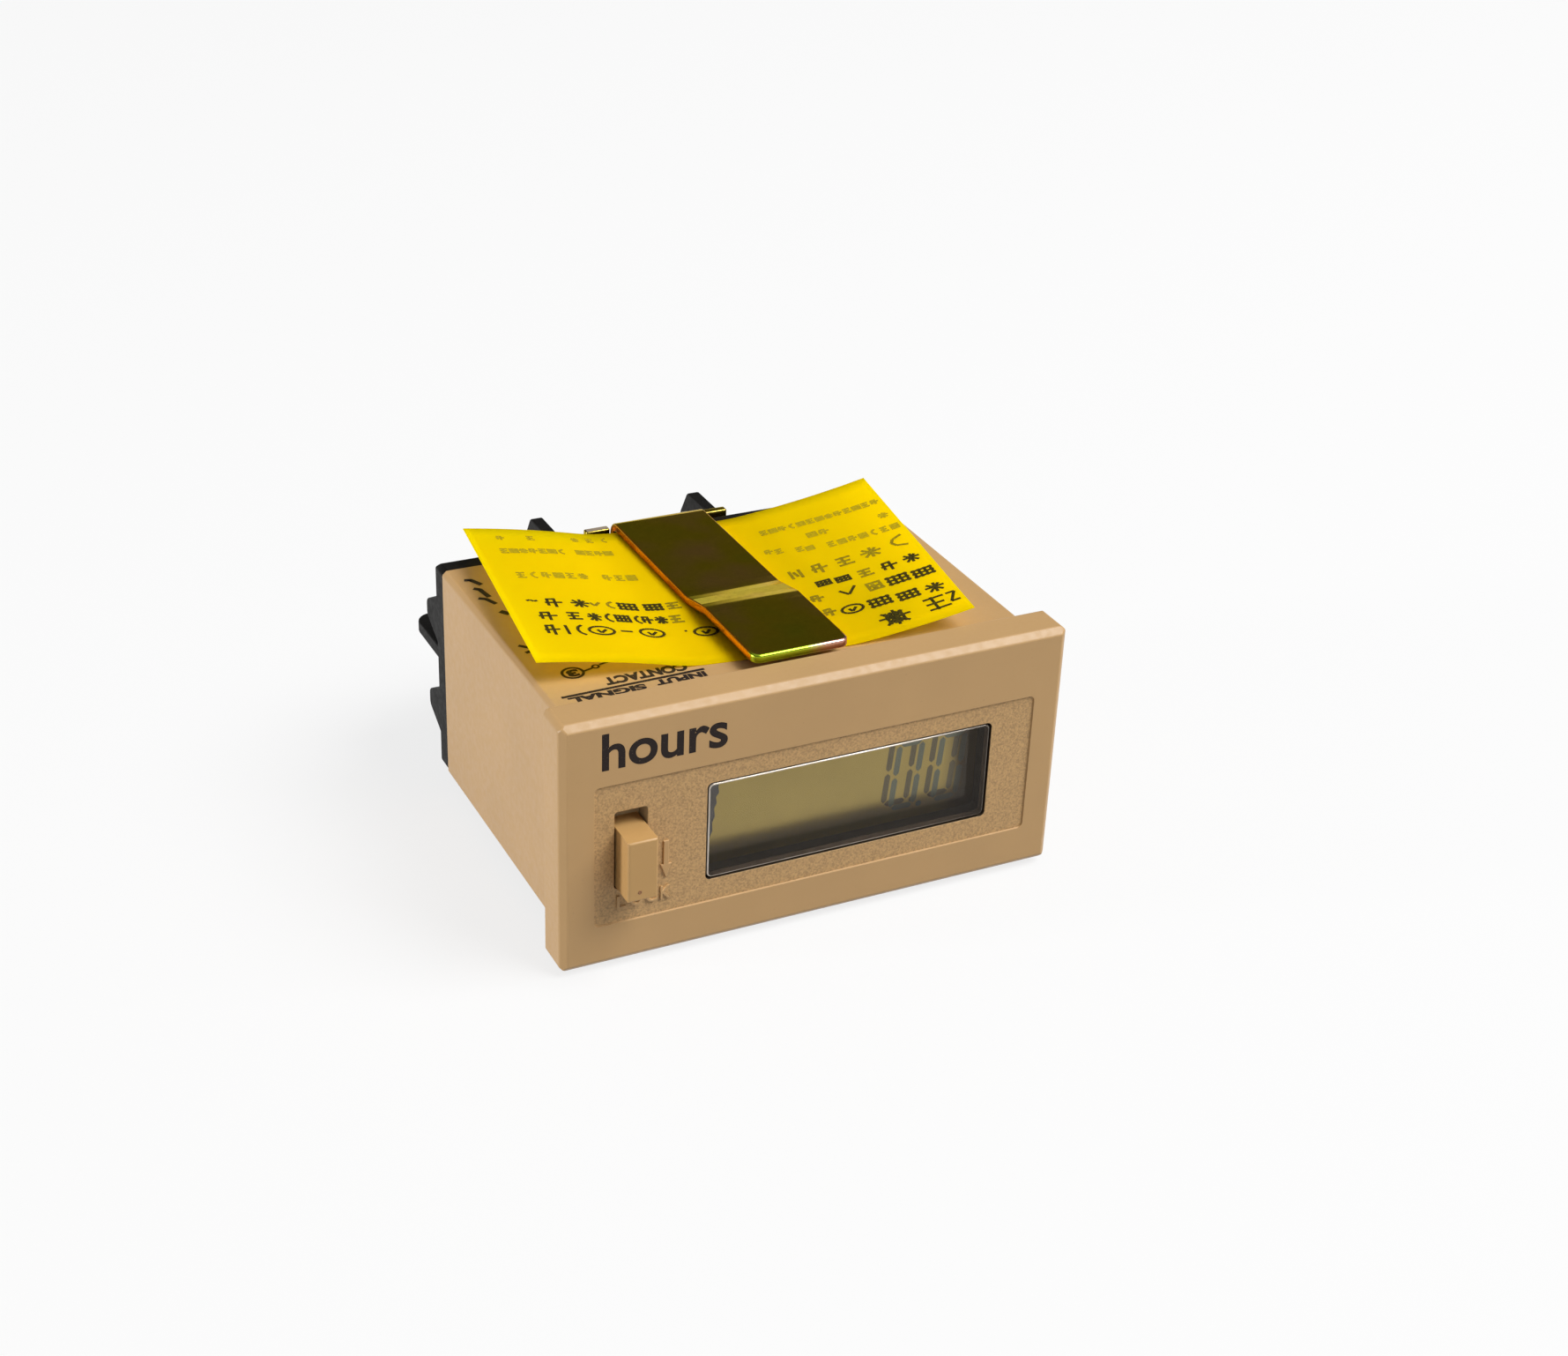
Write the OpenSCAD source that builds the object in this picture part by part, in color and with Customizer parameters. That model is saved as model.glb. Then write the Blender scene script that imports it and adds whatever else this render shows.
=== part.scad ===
// Panel hour meter: a moulded case with a liquid crystal display, a reset key that slides down to lock,
// screw terminals at the rear and a sprung U bracket that clamps the case in its panel cut-out.
// Sizes are in millimetres. The origin is the centre of the panel's front face, where the bezel seats.
// +X runs to the right as the display is read, +Y to the rear and +Z up.

/* [Bezel] */
// Width of the bezel
bezel_w = 48; // [47:0.5:52]
// Height of the bezel
bezel_h = 24; // [23.5:0.5:28]
// Depth of the bezel in front of the panel
bezel_t = 4.15; // [3.8:0.05:5]
// Chamfer round the bezel's front face
bezel_chamfer = 0.6; // [0.3:0.1:0.9]
// Chamfer on the bezel's four corners
corner_chamfer = 0.5; // [0.2:0.1:0.8]
// Chamfer round the rear rim of the bezel
seat_chamfer = 0.35; // [0.2:0.05:0.5]
// Margin of the grained panel at the bezel's sides
inset_side = 3; // [2:0.1:4]
// Margin of the grained panel at the bezel's top
inset_top = 6.25; // [5:0.05:7]
// Margin of the grained panel at the bezel's bottom
inset_bottom = 4.1; // [3:0.1:5]
// Depth of the grained panel below the bezel's front face
inset_depth = 0.15; // [0.1:0.05:0.3]

/* [Case] */
// Width of the case behind the panel
case_w = 44.8; // [44:0.1:46]
// Height of the case behind the panel
case_h = 21.5; // [21:0.1:22.5]
// Length of the case behind the panel
case_l = 29.15; // [28:0.05:34]
// Wall of the case
wall = 1.5; // [1.2:0.1:1.8]
// Wall behind the bezel's front face
front_wall = 2; // [1.5:0.1:2.2]
// Chamfer on the long edges of the case
case_edge = 0.4; // [0.2:0.1:0.8]

/* [Display] */
// Margin of the display opening from the case's left side
window_left = 11.7; // [11.3:0.1:14]
// Margin of the display opening from the case's right side
window_right = 5.5; // [5.4:0.1:8]
// Margin of the display opening from the case's top
window_top = 6.9; // [6:0.1:7.5]
// Margin of the display opening from the case's underside
window_bottom = 5; // [4.6:0.1:5.5]
// Corner radius of the display opening
window_r = 0.5; // [0.3:0.1:1]
// Overlap of the window's flange behind the opening
window_lip = 1.2; // [0.8:0.1:1.4]
// Thickness of the window's flange
window_flange_t = 1; // [0.8:0.1:1.2]
// Depth from the window's flange to the display's front glass
display_depth = 1.15; // [0.9:0.05:1.5]
// Overlap of the display glass past the opening at each side
glass_side = 1.3; // [1:0.1:1.5]
// Overlap of the display glass past the opening at top and bottom
glass_ledge = 1.6; // [1.5:0.1:1.9]
// Thickness of one display glass
glass_t = 1.1; // [0.7:0.1:1.4]
// Wall of the display holder at its sides
holder_wall = 1.2; // [1:0.1:1.3]
// Gap between the display holder and the case's top and underside
holder_gap = 0.6; // [0.3:0.1:0.8]
// Height of the conductive rubber strips between glass and board
strip_l = 4.05; // [3.8:0.05:5]
// Thickness of the conductive rubber strips
strip_z = 1.3; // [1:0.1:1.4]

/* [Reset key] */
// Width of the key
key_w = 2.7; // [2.4:0.1:2.9]
// Height of the key
key_h = 5.8; // [5.2:0.1:6.2]
// Height of the key above the bezel's front face
key_proud = 2.5; // [2:0.1:3.5]
// Distance of the key's middle from the case's left side
key_inset = 4.75; // [4.7:0.05:4.9]
// Height of the middle of the key's slot
slot_z = -0.775; // [-1:0.025:-0.5]
// Travel of the key from locked to free
lock_travel = 1.45; // [1.4:0.05:1.6]
// Travel of the key when it is pressed
press_travel = 0.8; // [0.5:0.05:0.9]
// Clearance round the key in its slot
key_gap = 0.15; // [0.1:0.01:0.2]
// Rounding of the key's edges, cut as a chamfer
key_edge = 0.3; // [0.2:0.05:0.5]
// Thickness of the key's flange behind the front wall
key_flange_t = 0.8; // [0.6:0.1:1]
// Radius of the key's stem
stem_r = 0.6; // [0.5:0.05:0.62]
// Length of the return spring at rest
spring_l = 2.2; // [2:0.1:2.4]
// Mean radius of the return spring
spring_r = 1.1; // [1:0.05:1.3]
// Radius of the spring's wire
spring_wire_r = 0.1; // [0.08:0.01:0.12]
// Turns of the spring
spring_turns = 4; // [3:1:5]

/* [Boards] */
// Gap between the boards and the case
board_gap = 0.6; // [0.4:0.1:0.8]
// Thickness of the display board
board_t = 1; // [0.8:0.1:1.2]
// Distance between the two boards
board_pitch = 12.65; // [12:0.05:13]
// Thickness of the input board
input_t = 1.2; // [0.8:0.1:1.4]
// Radius of the battery
cell_r = 8; // [7:0.1:8.3]
// Thickness of the battery
cell_t = 3.2; // [2.5:0.1:4]
// Offset of the battery to the left
cell_x = 9; // [8.6:0.1:9.4]
// Distance of the battery from the display board
cell_lift = 3.85; // [3:0.05:4.5]
// Side of the counter chip
chip_w = 10; // [8:0.5:11]
// Offset of the counter chip to the right
chip_x = 8; // [7.5:0.1:8.5]
// Side of the square pins between the boards
pin_w = 0.64; // [0.5:0.02:0.7]
// Distance between those pins
pin_pitch = 2.54; // [2:0.02:3]

/* [Terminal block] */
// Thickness of the block's flange on the rear of the case
flange_t = 2.2; // [2:0.1:4]
// Chamfer on the flange's upper and lower rear edges
flange_edge = 0.4; // [0.3:0.05:0.6]
// Depth of the block's plug inside the case
plug_l = 3; // [2.5:0.1:3.5]
// Clearance of the plug in the case
plug_gap = 0.15; // [0.1:0.05:0.2]
// Wall of the plug
plug_wall = 1.2; // [1:0.1:1.5]
// Step between the case's sides and the flange
flange_step = 0.1; // [0.05:0.05:0.2]
// Offset of the terminals from the middle, sideways
term_x = 14.7; // [14.4:0.1:15]
// Offset of the terminals from the middle, up and down
term_z = 4.8; // [4.7:0.1:5]
// Offset of the upright barriers from the middle
barrier_x = 8.4; // [8.2:0.1:8.8]
// Thickness of the barriers
barrier_t = 1.2; // [1:0.1:1.4]
// Reach of the upright barriers behind the flange
barrier_l = 12.1; // [10.5:0.1:13]
// Drop of the upright barriers' top below the flange's
barrier_drop = 2.3; // [1.5:0.05:3]
// Height of the slope at the barriers' rear
barrier_slope = 2.7; // [2:0.1:3.5]
// Depth of the slope at the barriers' rear
barrier_lean = 1.6; // [1:0.1:2.5]
// Reach of the level barriers behind the flange
divider_l = 9.4; // [7:0.1:10]
// Reach of the wire lips behind the flange
lip_l = 2.9; // [2:0.1:4]
// Width of the wire lips at their foot
lip_w = 4.8; // [4:0.1:5.6]
// Width of the wire lips at their tip
lip_tip_w = 1.6; // [1.2:0.1:2.4]
// Side of the square terminal plates
plate_w = 7.4; // [7:0.1:7.8]
// Thickness of the terminal plates
plate_t = 1; // [0.8:0.1:1.2]
// Thickness of the plates' tails
tail_t = 0.8; // [0.6:0.1:0.9]
// Width of the plates' tails
tail_w = 2.4; // [2:0.1:2.8]
// Radius of the terminal screws
screw_r = 1.5; // [1.25:0.05:1.75]
// Radius of the screws' heads
head_r = 2.8; // [2.6:0.1:3.2]
// Height of the screws' heads
head_t = 1.8; // [1.5:0.1:2.2]
// Side of the square clamp washers
washer_w = 7; // [6.4:0.1:7.6]
// Thickness of the clamp washers
washer_t = 0.8; // [0.6:0.1:1]

/* [Bracket] */
// Width of the bracket's legs
leg_w = 9.2; // [8:0.1:10]
// Radius of the corners at the legs' tips
tip_r = 0.8; // [0.5:0.1:2]
// Thickness of the bracket's sheet
sheet_t = 0.8; // [0.6:0.05:1]
// Clearance of the bracket over the case
bracket_gap = 0.15; // [0.15:0.05:0.25]
// Distance of the bracket's tips from the panel's front face
tip_gap = 0.45; // [0.3:0.05:1.5]
// Rise of the legs' front third over the rest
joggle_rise = 0.8; // [0.6:0.05:1]
// Distance of the ramp's foot from the panel's front face
joggle_y = 10.4; // [10:0.05:15]
// Length of the ramp
joggle_l = 4; // [2:0.1:5]
// Outer radius of the bracket's bends
bend_r = 1.5; // [1.2:0.1:2]
// Width of the bracket's rear plate
bridge_w = 14.6; // [13:0.1:15]
// Rise of the rear plate's shoulders past the case
shoulder_rise = 0.3; // [0:0.05:0.5]
// Slit between a shoulder and its leg
shoulder_slit = 0.3; // [0.2:0.05:0.5]
// Clearance of the rear plate behind the block
bridge_gap = 0.05; // [0.05:0.05:0.2]

/* [Slip] */
// Width of the paper slip
slip_w = 40; // [36:0.5:44]
// Thickness of the paper
slip_t = 0.08; // [0.05:0.01:0.1]
// Distance of the slip's front edge behind the panel's front face, at its middle
slip_front = 3; // [2.5:0.1:6]
// Distance of the slip's rear edge from the bracket's rear plate, at its middle
slip_back = 1.3; // [1.2:0.1:4]
// Offset of the slip's middle to the left
slip_shift = 1.05; // [0:0.05:2]
// Turn of the slip on the case, in degrees
slip_turn = -6.8; // [-8:0.1:0]
// Rise of the slip's left side past its bend, per millimetre
slip_left_rise = 0.255; // [0.15:0.005:0.3]
// Rise of the slip's right side past its bend, per millimetre
slip_right_rise = 0.115; // [0:0.005:0.2]

/* [Hidden] */
TERMINALS = [1, 2, 3, 4];
$fn = 48;

// Clearance between pieces that are fixed together
fit = 0.05;
// Clearance between pieces that slide
slide = 0.1;
// Overrun of a cut past the face that it opens
cut = 1;

// Colours
tan_plastic = [0.76, 0.64, 0.48];
black_plastic = [0.09, 0.09, 0.09];
clear_plastic = [0.85, 0.9, 0.88, 0.35];
glass_colour = [0.58, 0.56, 0.42];
rubber_colour = [0.55, 0.55, 0.56];
board_colour = [0.12, 0.33, 0.2];
chip_colour = [0.14, 0.14, 0.15];
metal_colour = [0.72, 0.72, 0.74];
brass_colour = [0.78, 0.66, 0.36];
zinc_colour = [0.5, 0.43, 0.14];
paper_colour = [0.95, 0.84, 0.05];

// Planes across the case, from front to rear
front_y = -bezel_t;
inner_y = front_y + front_wall;
panel_y = front_y + inset_depth;
holder_y = inner_y + window_flange_t;
glass_y = holder_y + display_depth;
board_y = glass_y + glass_t + strip_l;
board_rear = board_y + board_t;
cell_y = board_rear + cell_lift;
cell_rear = cell_y + cell_t;
input_y = board_rear + board_pitch;
input_rear = input_y + input_t;
block_rear = case_l + flange_t;
plate_rear = block_rear + plate_t;
washer_rear = plate_rear + washer_t;

// Inside of the case and the boards in it
bay_w = case_w - 2 * wall;
bay_h = case_h - 2 * wall;
board_w = bay_w - 2 * board_gap;
board_h = bay_h - 2 * board_gap;

// Grained panel and display
inset_w = bezel_w - 2 * inset_side;
inset_h = bezel_h - inset_top - inset_bottom;
inset_z = (inset_bottom - inset_top) / 2;
window_w = case_w - window_left - window_right;
window_h = case_h - window_top - window_bottom;
window_x = (window_left - window_right) / 2;
window_z = (window_bottom - window_top) / 2;
glass_w = window_w + 2 * glass_side;
glass_h = window_h + 2 * glass_ledge;
holder_w = glass_w + 2 * holder_wall;
holder_h = bay_h - 2 * holder_gap;
sight_gap = 0.3;
peg_r = holder_wall * 0.4;
peg_x = (glass_w + holder_wall) / 2;
peg_z = glass_h / 4;
peg_l = board_t + 0.3;

// Reset key, its slot and its carriage, with the key down in its locked place
key_x = case_w / 2 - key_inset;
slot_w = key_w + 2 * key_gap;
slot_h = key_h + lock_travel + 2 * key_gap;
key_z = slot_z - lock_travel / 2;
free_z = key_z + lock_travel;
flange_lip = 0.6;
key_flange_w = key_w + 2 * flange_lip;
key_flange_h = key_h + 2 * lock_travel + 2 * flange_lip;
key_flange_y = inner_y + fit;
key_flange_rear = key_flange_y + key_flange_t;
carriage_wall = 0.6;
carriage_w = key_flange_w + 2 * slide + 2 * carriage_wall;
carriage_y = key_flange_rear + spring_l;
carriage_t = 0.8;
switch_w = key_flange_w - 2 * slide;
switch_h = 6;
switch_t = 1.55;
plunger_r = 0.75;
plunger_t = 0.6;
plunger_y = board_y - switch_t - plunger_t;
stem_end = plunger_y - press_travel - fit;

// Small parts on the boards
tab_t = 0.2;
tab_w = 4;
tab_reach = 1;
chip_t = 1.6;
lead_w = 0.3;
lead_t = 0.2;
lead_l = 0.9;
lead_pitch = 0.8;
chip_leads = floor((chip_w - 1) / lead_pitch);
crystal_r = 1;
crystal_l = 6;
small_edge = 1.4;
capacitor_count = 4;
capacitor_pitch = 3.2;
capacitor_size = [2, 1, 1.25];
pin_count = 4;
pin_inset = 2;
pin_x = board_w / 2 - pin_inset;
pin_out = 0.8;
coupler_size = [8.6, 3.4, 6.4];
coupler_x = -3;
coupler_leads = 3;
coupler_pitch = 2.54;
coupler_lead_w = 0.6;
resistor_r = 1.15;
resistor_l = 6.3;
resistor_wire_r = 0.3;
resistor_wire_l = 1.2;
resistor_x = 4.6;
resistor_pitch = 3;
can_r = 2.2;
can_l = 5;
can_x = term_x;

// Terminal block
flange_w = case_w - 2 * flange_step;
flange_h = case_h - 2 * flange_step;
plug_w = bay_w - 2 * plug_gap;
plug_h = bay_h - 2 * plug_gap;
barrier_tip_y = block_rear + barrier_l - barrier_lean;
barrier_tip_z = flange_h / 2 - barrier_drop;
barrier_low_z = barrier_tip_z - barrier_slope;
barrier_round = 0.8;
divider_w = flange_w / 2 - barrier_x - 0.8;
divider_round = 1.6;
lip_t = 1.3;
tail_x = term_x - plate_w / 2;
tail_front = input_y - 0.8;
screw_tip = block_rear - flange_t + 0.8;
recess_w = 0.75;
recess_l = 3.2;
recess_t = 0.9;

// Bracket
leg_z = case_h / 2 + bracket_gap;
leg_front_z = leg_z + joggle_rise;
bridge_y = block_rear + bridge_gap;
bridge_rear = bridge_y + sheet_t;
ramp_r = 1;

// Slip, with the change of its rise per millimetre and the turn of its bends, left and right
slip_l = (bridge_y - slip_back - slip_front) / cos(slip_turn);
slip_y = (bridge_y - slip_back + slip_front) / 2;
slip_flat = leg_w / 2 + 0.2;
slip_bend = 4;
slip_curl = [-0.0098, 0.0093];
slip_skew = [-2.2, 5.8];
slip_steps = 30;
slip_rows = 6;

// Unit vector along v
function unit(v) = v / norm(v);

// Arc of radius r that rounds the corner b between its neighbours a and c
function corner(a, b, c, r, steps = 6) =
    let (
        u = unit(a - b),
        v = unit(c - b),
        half = acos(u * v) / 2,
        middle = b + unit(u + v) * r / sin(half),
        start = b + u * r / tan(half) - middle,
        end = b + v * r / tan(half) - middle,
        from = atan2(start.y, start.x),
        turn = (atan2(end.y, end.x) - from + 540) % 360 - 180
    )
    r == 0 ? [b] : [for (i = [0:steps]) middle + r * [cos(from + turn * i / steps), sin(from + turn * i / steps)]];

// Outline through points with each corner rounded to its own radius
function rounded(points, radii) =
    let (n = len(points))
    [for (i = [0:n - 1]) each corner(points[(i + n - 1) % n], points[i], points[(i + 1) % n], radii[i])];

// The list p from its end to its start
function reversed(p) = [for (i = [len(p) - 1:-1:0]) p[i]];

// Points of p mirrored top to bottom
function flipped(p) = [for (q = p) [q.x, -q.y]];

// Extrusion along Y of an outline drawn in X and Z
module along_y(from, to) {
    translate([0, to, 0]) rotate([90, 0, 0]) linear_extrude(to - from) children();
}

// Extrusion along X of an outline drawn in Y and Z
module along_x(from, to) {
    translate([from, 0, 0]) rotate([90, 0, 90]) linear_extrude(to - from) children();
}

// Box between two opposite corners
module box(low, high) {
    translate(low) cube(high - low);
}

// Round bar along Y
module rod(r, from, to) {
    translate([0, to, 0]) rotate([90, 0, 0]) cylinder(r = r, h = to - from);
}

// Rectangle about the origin with its corners cut
module cut_rect(w, h, c) {
    polygon([[-w / 2 + c, -h / 2], [w / 2 - c, -h / 2], [w / 2, -h / 2 + c], [w / 2, h / 2 - c],
             [w / 2 - c, h / 2], [-w / 2 + c, h / 2], [-w / 2, h / 2 - c], [-w / 2, -h / 2 + c]]);
}

// Rectangle about the origin with round corners
module round_rect(w, h, r) {
    square([w - 2 * r, h], center = true);
    square([w, h - 2 * r], center = true);
    for (x = [-1, 1], z = [-1, 1]) translate([x * (w / 2 - r), z * (h / 2 - r)]) circle(r);
}

// Section of a plate of half width half from y to y with its front and rear edges chamfered
function edge_section(half, from, to, front, rear) =
    [[-half + front, from], [half - front, from], [half, from + front], [half, to - rear],
     [half - rear, to], [-half + rear, to], [-half, to - rear], [-half, from + front]];

// Plate across Y with chamfers round its front and rear faces
module edged_plate(w, h, from, to, front, rear) {
    intersection() {
        translate([0, 0, -h]) linear_extrude(2 * h) polygon(edge_section(w / 2, from, to, front, rear));
        along_x(-w, w) polygon([for (p = edge_section(h / 2, from, to, front, rear)) [p.y, p.x]]);
    }
}

// Case, moulded in one with the bezel
module case() color(tan_plastic) difference() {
    union() {
        intersection() {
            edged_plate(bezel_w, bezel_h, front_y, 0, bezel_chamfer, seat_chamfer);
            along_y(front_y, 0) cut_rect(bezel_w, bezel_h, corner_chamfer);
        }
        along_y(-seat_chamfer, case_l) cut_rect(case_w, case_h, case_edge);
    }
    along_y(inner_y, case_l + cut) square([bay_w, bay_h], center = true);
    along_y(front_y - cut, panel_y) translate([0, inset_z]) round_rect(inset_w, inset_h, window_r);
    along_y(front_y - cut, inner_y + cut) {
        translate([window_x, window_z]) round_rect(window_w, window_h, window_r);
        translate([-key_x, slot_z]) round_rect(slot_w, slot_h, key_gap * 2);
    }
}

// Clear window, held by a flange behind the opening
module display_window() color(clear_plastic) translate([window_x, 0, window_z]) {
    along_y(panel_y + fit, inner_y) round_rect(window_w - 2 * fit, window_h - 2 * fit, window_r);
    along_y(inner_y, holder_y)
        square([window_w + 2 * window_lip, window_h + 2 * window_lip], center = true);
}

// Reset key with the flange that shutters its slot and the stem that works the switch
module reset_key() color(tan_plastic) translate([-key_x, 0, key_z]) {
    edged_plate(key_w, key_h, front_y - key_proud, key_flange_y, key_edge, 0);
    along_y(key_flange_y, key_flange_rear) square([key_flange_w, key_flange_h], center = true);
    rod(stem_r, key_flange_rear, stem_end);
}

// Carriage that slides up and down with the key between the front wall and the display board
module key_carriage() color(black_plastic) translate([-key_x, 0, key_z]) {
    for (side = [-1, 1])
        along_y(inner_y + slide, board_y - slide)
            translate([side * (carriage_w - carriage_wall) / 2, 0])
                square([carriage_wall, key_flange_h], center = true);
    along_y(carriage_y, carriage_y + carriage_t) difference() {
        square([carriage_w, key_flange_h], center = true);
        circle(stem_r + slide);
    }
}

// Return spring round the stem, from the key's flange to the carriage
module key_spring() {
    rings = spring_turns * 16;
    sides = 6;
    rise = spring_l - 2 * spring_wire_r - 2 * fit;
    points = [for (i = [0:rings], j = [0:sides - 1])
        let (a = 360 * spring_turns * i / rings, b = 360 * j / sides, r = spring_r + spring_wire_r * cos(b))
        [r * cos(a), spring_wire_r * (1 + sin(b)) + fit + rise * i / rings, r * sin(a)]];
    skin = [for (i = [0:rings - 1], j = [0:sides - 1])
        [i * sides + j, i * sides + (j + 1) % sides, (i + 1) * sides + (j + 1) % sides, (i + 1) * sides + j]];
    ends = [[for (j = [sides - 1:-1:0]) j], [for (j = [0:sides - 1]) rings * sides + j]];
    color(metal_colour) translate([-key_x, key_flange_rear, key_z]) polyhedron(points, concat(skin, ends));
}

// Black frame that holds the display glass behind the window and spaces it from the board
module lcd_holder() color(black_plastic) translate([window_x, 0, window_z]) {
    difference() {
        along_y(holder_y, board_y) translate([0, -window_z]) square([holder_w, holder_h], center = true);
        along_y(holder_y - cut, board_y + cut)
            round_rect(window_w + 2 * sight_gap, window_h + 2 * sight_gap, window_r);
        along_y(glass_y, board_y + cut) square([glass_w + 2 * fit, glass_h + 2 * fit], center = true);
    }
    for (side = [-1, 1]) translate([side * peg_x, 0, side * peg_z]) rod(peg_r, board_y, board_y + peg_l);
}

// Display cell: a tall front glass and a shorter rear glass, bonded
module lcd_cell() color(glass_colour) translate([window_x, 0, window_z]) {
    along_y(glass_y, glass_y + glass_t) square([glass_w, glass_h], center = true);
    along_y(glass_y + glass_t, glass_y + 2 * glass_t)
        square([glass_w, glass_h - 2 * strip_z - 4 * fit], center = true);
}

// Conductive rubber strip on the upper (side 1) or lower (side -1) ledge of the glass
module contact_strip(side) color(rubber_colour)
    along_y(glass_y + glass_t, board_y)
        translate([window_x, window_z + side * (glass_h - strip_z) / 2])
            square([glass_w - 2 * fit, strip_z], center = true);

module upper_contact_strip() contact_strip(1);

module lower_contact_strip() contact_strip(-1);

// Holes for the pins that join the two boards
module pin_holes() {
    for (i = [0:pin_count - 1])
        translate([pin_x, (i - (pin_count - 1) / 2) * pin_pitch]) square(pin_w + 2 * fit, center = true);
}

// Front board, with the display, the switch and the counting circuit
module display_board() color(board_colour) along_y(board_y, board_rear) difference() {
    square([board_w, board_h], center = true);
    for (side = [-1, 1])
        translate([window_x + side * peg_x, window_z + side * peg_z]) circle(peg_r + fit);
    pin_holes();
}

// Small push switch behind the key's free place
module reset_switch() color(chip_colour) translate([-key_x, 0, free_z]) {
    along_y(board_y - switch_t, board_y) cut_rect(switch_w, switch_h, 0.3);
    rod(plunger_r, plunger_y, board_y - switch_t);
}

// Row of flat leads along one edge of a package that lies on the plane y
module lead_row(count, pitch, w, reach, offset, y) {
    for (i = [0:count - 1])
        box([(i - (count - 1) / 2) * pitch - w / 2, y, offset],
            [(i - (count - 1) / 2) * pitch + w / 2, y + lead_t, offset + reach]);
}

// Square counter chip with leads on its four edges
module counter_chip() color(chip_colour) translate([chip_x, 0, 0]) {
    along_y(board_rear, board_rear + chip_t) cut_rect(chip_w, chip_w, 0.4);
    for (a = [0:90:270])
        rotate([0, a, 0]) lead_row(chip_leads, lead_pitch, lead_w, lead_l, chip_w / 2 - lead_t, board_rear);
}

// Can of the quartz crystal, lying on the board
module quartz_crystal() color(metal_colour)
    translate([chip_x - crystal_l / 2, board_rear + crystal_r, board_h / 2 - small_edge])
        rotate([0, 90, 0]) cylinder(r = crystal_r, h = crystal_l);

// Row of chip capacitors below the counter chip
module chip_capacitors() color(brass_colour) for (i = [0:capacitor_count - 1])
    translate([chip_x + (i - (capacitor_count - 1) / 2) * capacitor_pitch - capacitor_size.x / 2, board_rear,
               -board_h / 2 + small_edge - capacitor_size.z / 2])
        cube(capacitor_size);

// Lithium coin cell
module battery_cell() color(metal_colour) translate([-cell_x, 0, 0]) {
    rod(cell_r, cell_y + cell_t / 4, cell_rear);
    rod(cell_r - 0.8, cell_y, cell_y + cell_t / 4);
}

// Strip welded to one face of the cell with a leg to the board; side is 1 to the right, -1 to the left
module battery_tab(side, y) color(metal_colour) translate([-cell_x, 0, 0]) {
    reach = cell_r + tab_reach;
    mirror([side < 0 ? 1 : 0, 0, 0]) {
        box([0, y, -tab_w / 2], [reach, y + tab_t, tab_w / 2]);
        box([reach - tab_t, board_rear, -tab_w / 4], [reach, y + tab_t, tab_w / 4]);
    }
}

module battery_positive_tab() battery_tab(1, cell_rear);

module battery_negative_tab() battery_tab(-1, cell_y - tab_t);

// Square pins that join the two boards
module board_link_pins() color(brass_colour) for (i = [0:pin_count - 1])
    translate([pin_x, 0, (i - (pin_count - 1) / 2) * pin_pitch])
        along_y(board_y + fit, input_rear + pin_out) square(pin_w, center = true);

// Rear board, with the input circuit, carried on the tails of the terminal plates
module input_board() color(board_colour) along_y(input_y, input_rear) difference() {
    square([board_w, board_h], center = true);
    for (side = [-1, 1], up = [-1, 1])
        translate([side * (tail_x + tail_t / 2), up * term_z])
            square([tail_t + 2 * fit, tail_w + 2 * fit], center = true);
    pin_holes();
}

// Photocoupler that isolates the input
module photocoupler() color(chip_colour) translate([coupler_x, 0, 0]) {
    box([-coupler_size.x / 2, input_rear, -coupler_size.z / 2],
        [coupler_size.x / 2, input_rear + coupler_size.y, coupler_size.z / 2]);
    for (a = [0, 180])
        rotate([0, a, 0])
            lead_row(coupler_leads, coupler_pitch, coupler_lead_w, lead_l, coupler_size.z / 2 - lead_t, input_rear);
}

// Pair of input resistors with bent wires
module input_resistors() color(rubber_colour) for (i = [0, 1])
    translate([resistor_x + i * resistor_pitch, input_rear + resistor_r, 0]) {
        cylinder(r = resistor_r, h = resistor_l, center = true);
        cylinder(r = resistor_wire_r, h = resistor_l + 2 * resistor_wire_l, center = true);
        for (end = [-1, 1])
            translate([0, 0, end * (resistor_l / 2 + resistor_wire_l - resistor_wire_r)])
                rod(resistor_wire_r, -resistor_r, 0);
    }

// Smoothing capacitor, standing on the input board
module smoothing_capacitor() color(chip_colour) translate([can_x, 0, 0])
    rod(can_r, input_rear, input_rear + can_l);

// Upright barrier beside the bracket, with a slope at top and bottom and round corners
module upright_barrier() {
    upper = [[block_rear - cut, barrier_tip_z], [barrier_tip_y, barrier_tip_z],
             [block_rear + barrier_l, barrier_low_z]];
    radii = [0, barrier_round, barrier_round];
    along_x(barrier_x - barrier_t / 2, barrier_x + barrier_t / 2)
        polygon(rounded(concat(upper, reversed(flipped(upper))), concat(radii, reversed(radii))));
}

// Level barrier between the upper and the lower terminal, drawn from above
module level_barrier() {
    outer = barrier_x + divider_w;
    rear = block_rear + divider_l;
    points = [[barrier_x, block_rear - cut], [outer, block_rear - cut], [outer, rear], [barrier_x, rear]];
    translate([0, 0, -barrier_t / 2])
        linear_extrude(barrier_t) polygon(rounded(points, [0, 0, divider_round, 0]));
}

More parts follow.
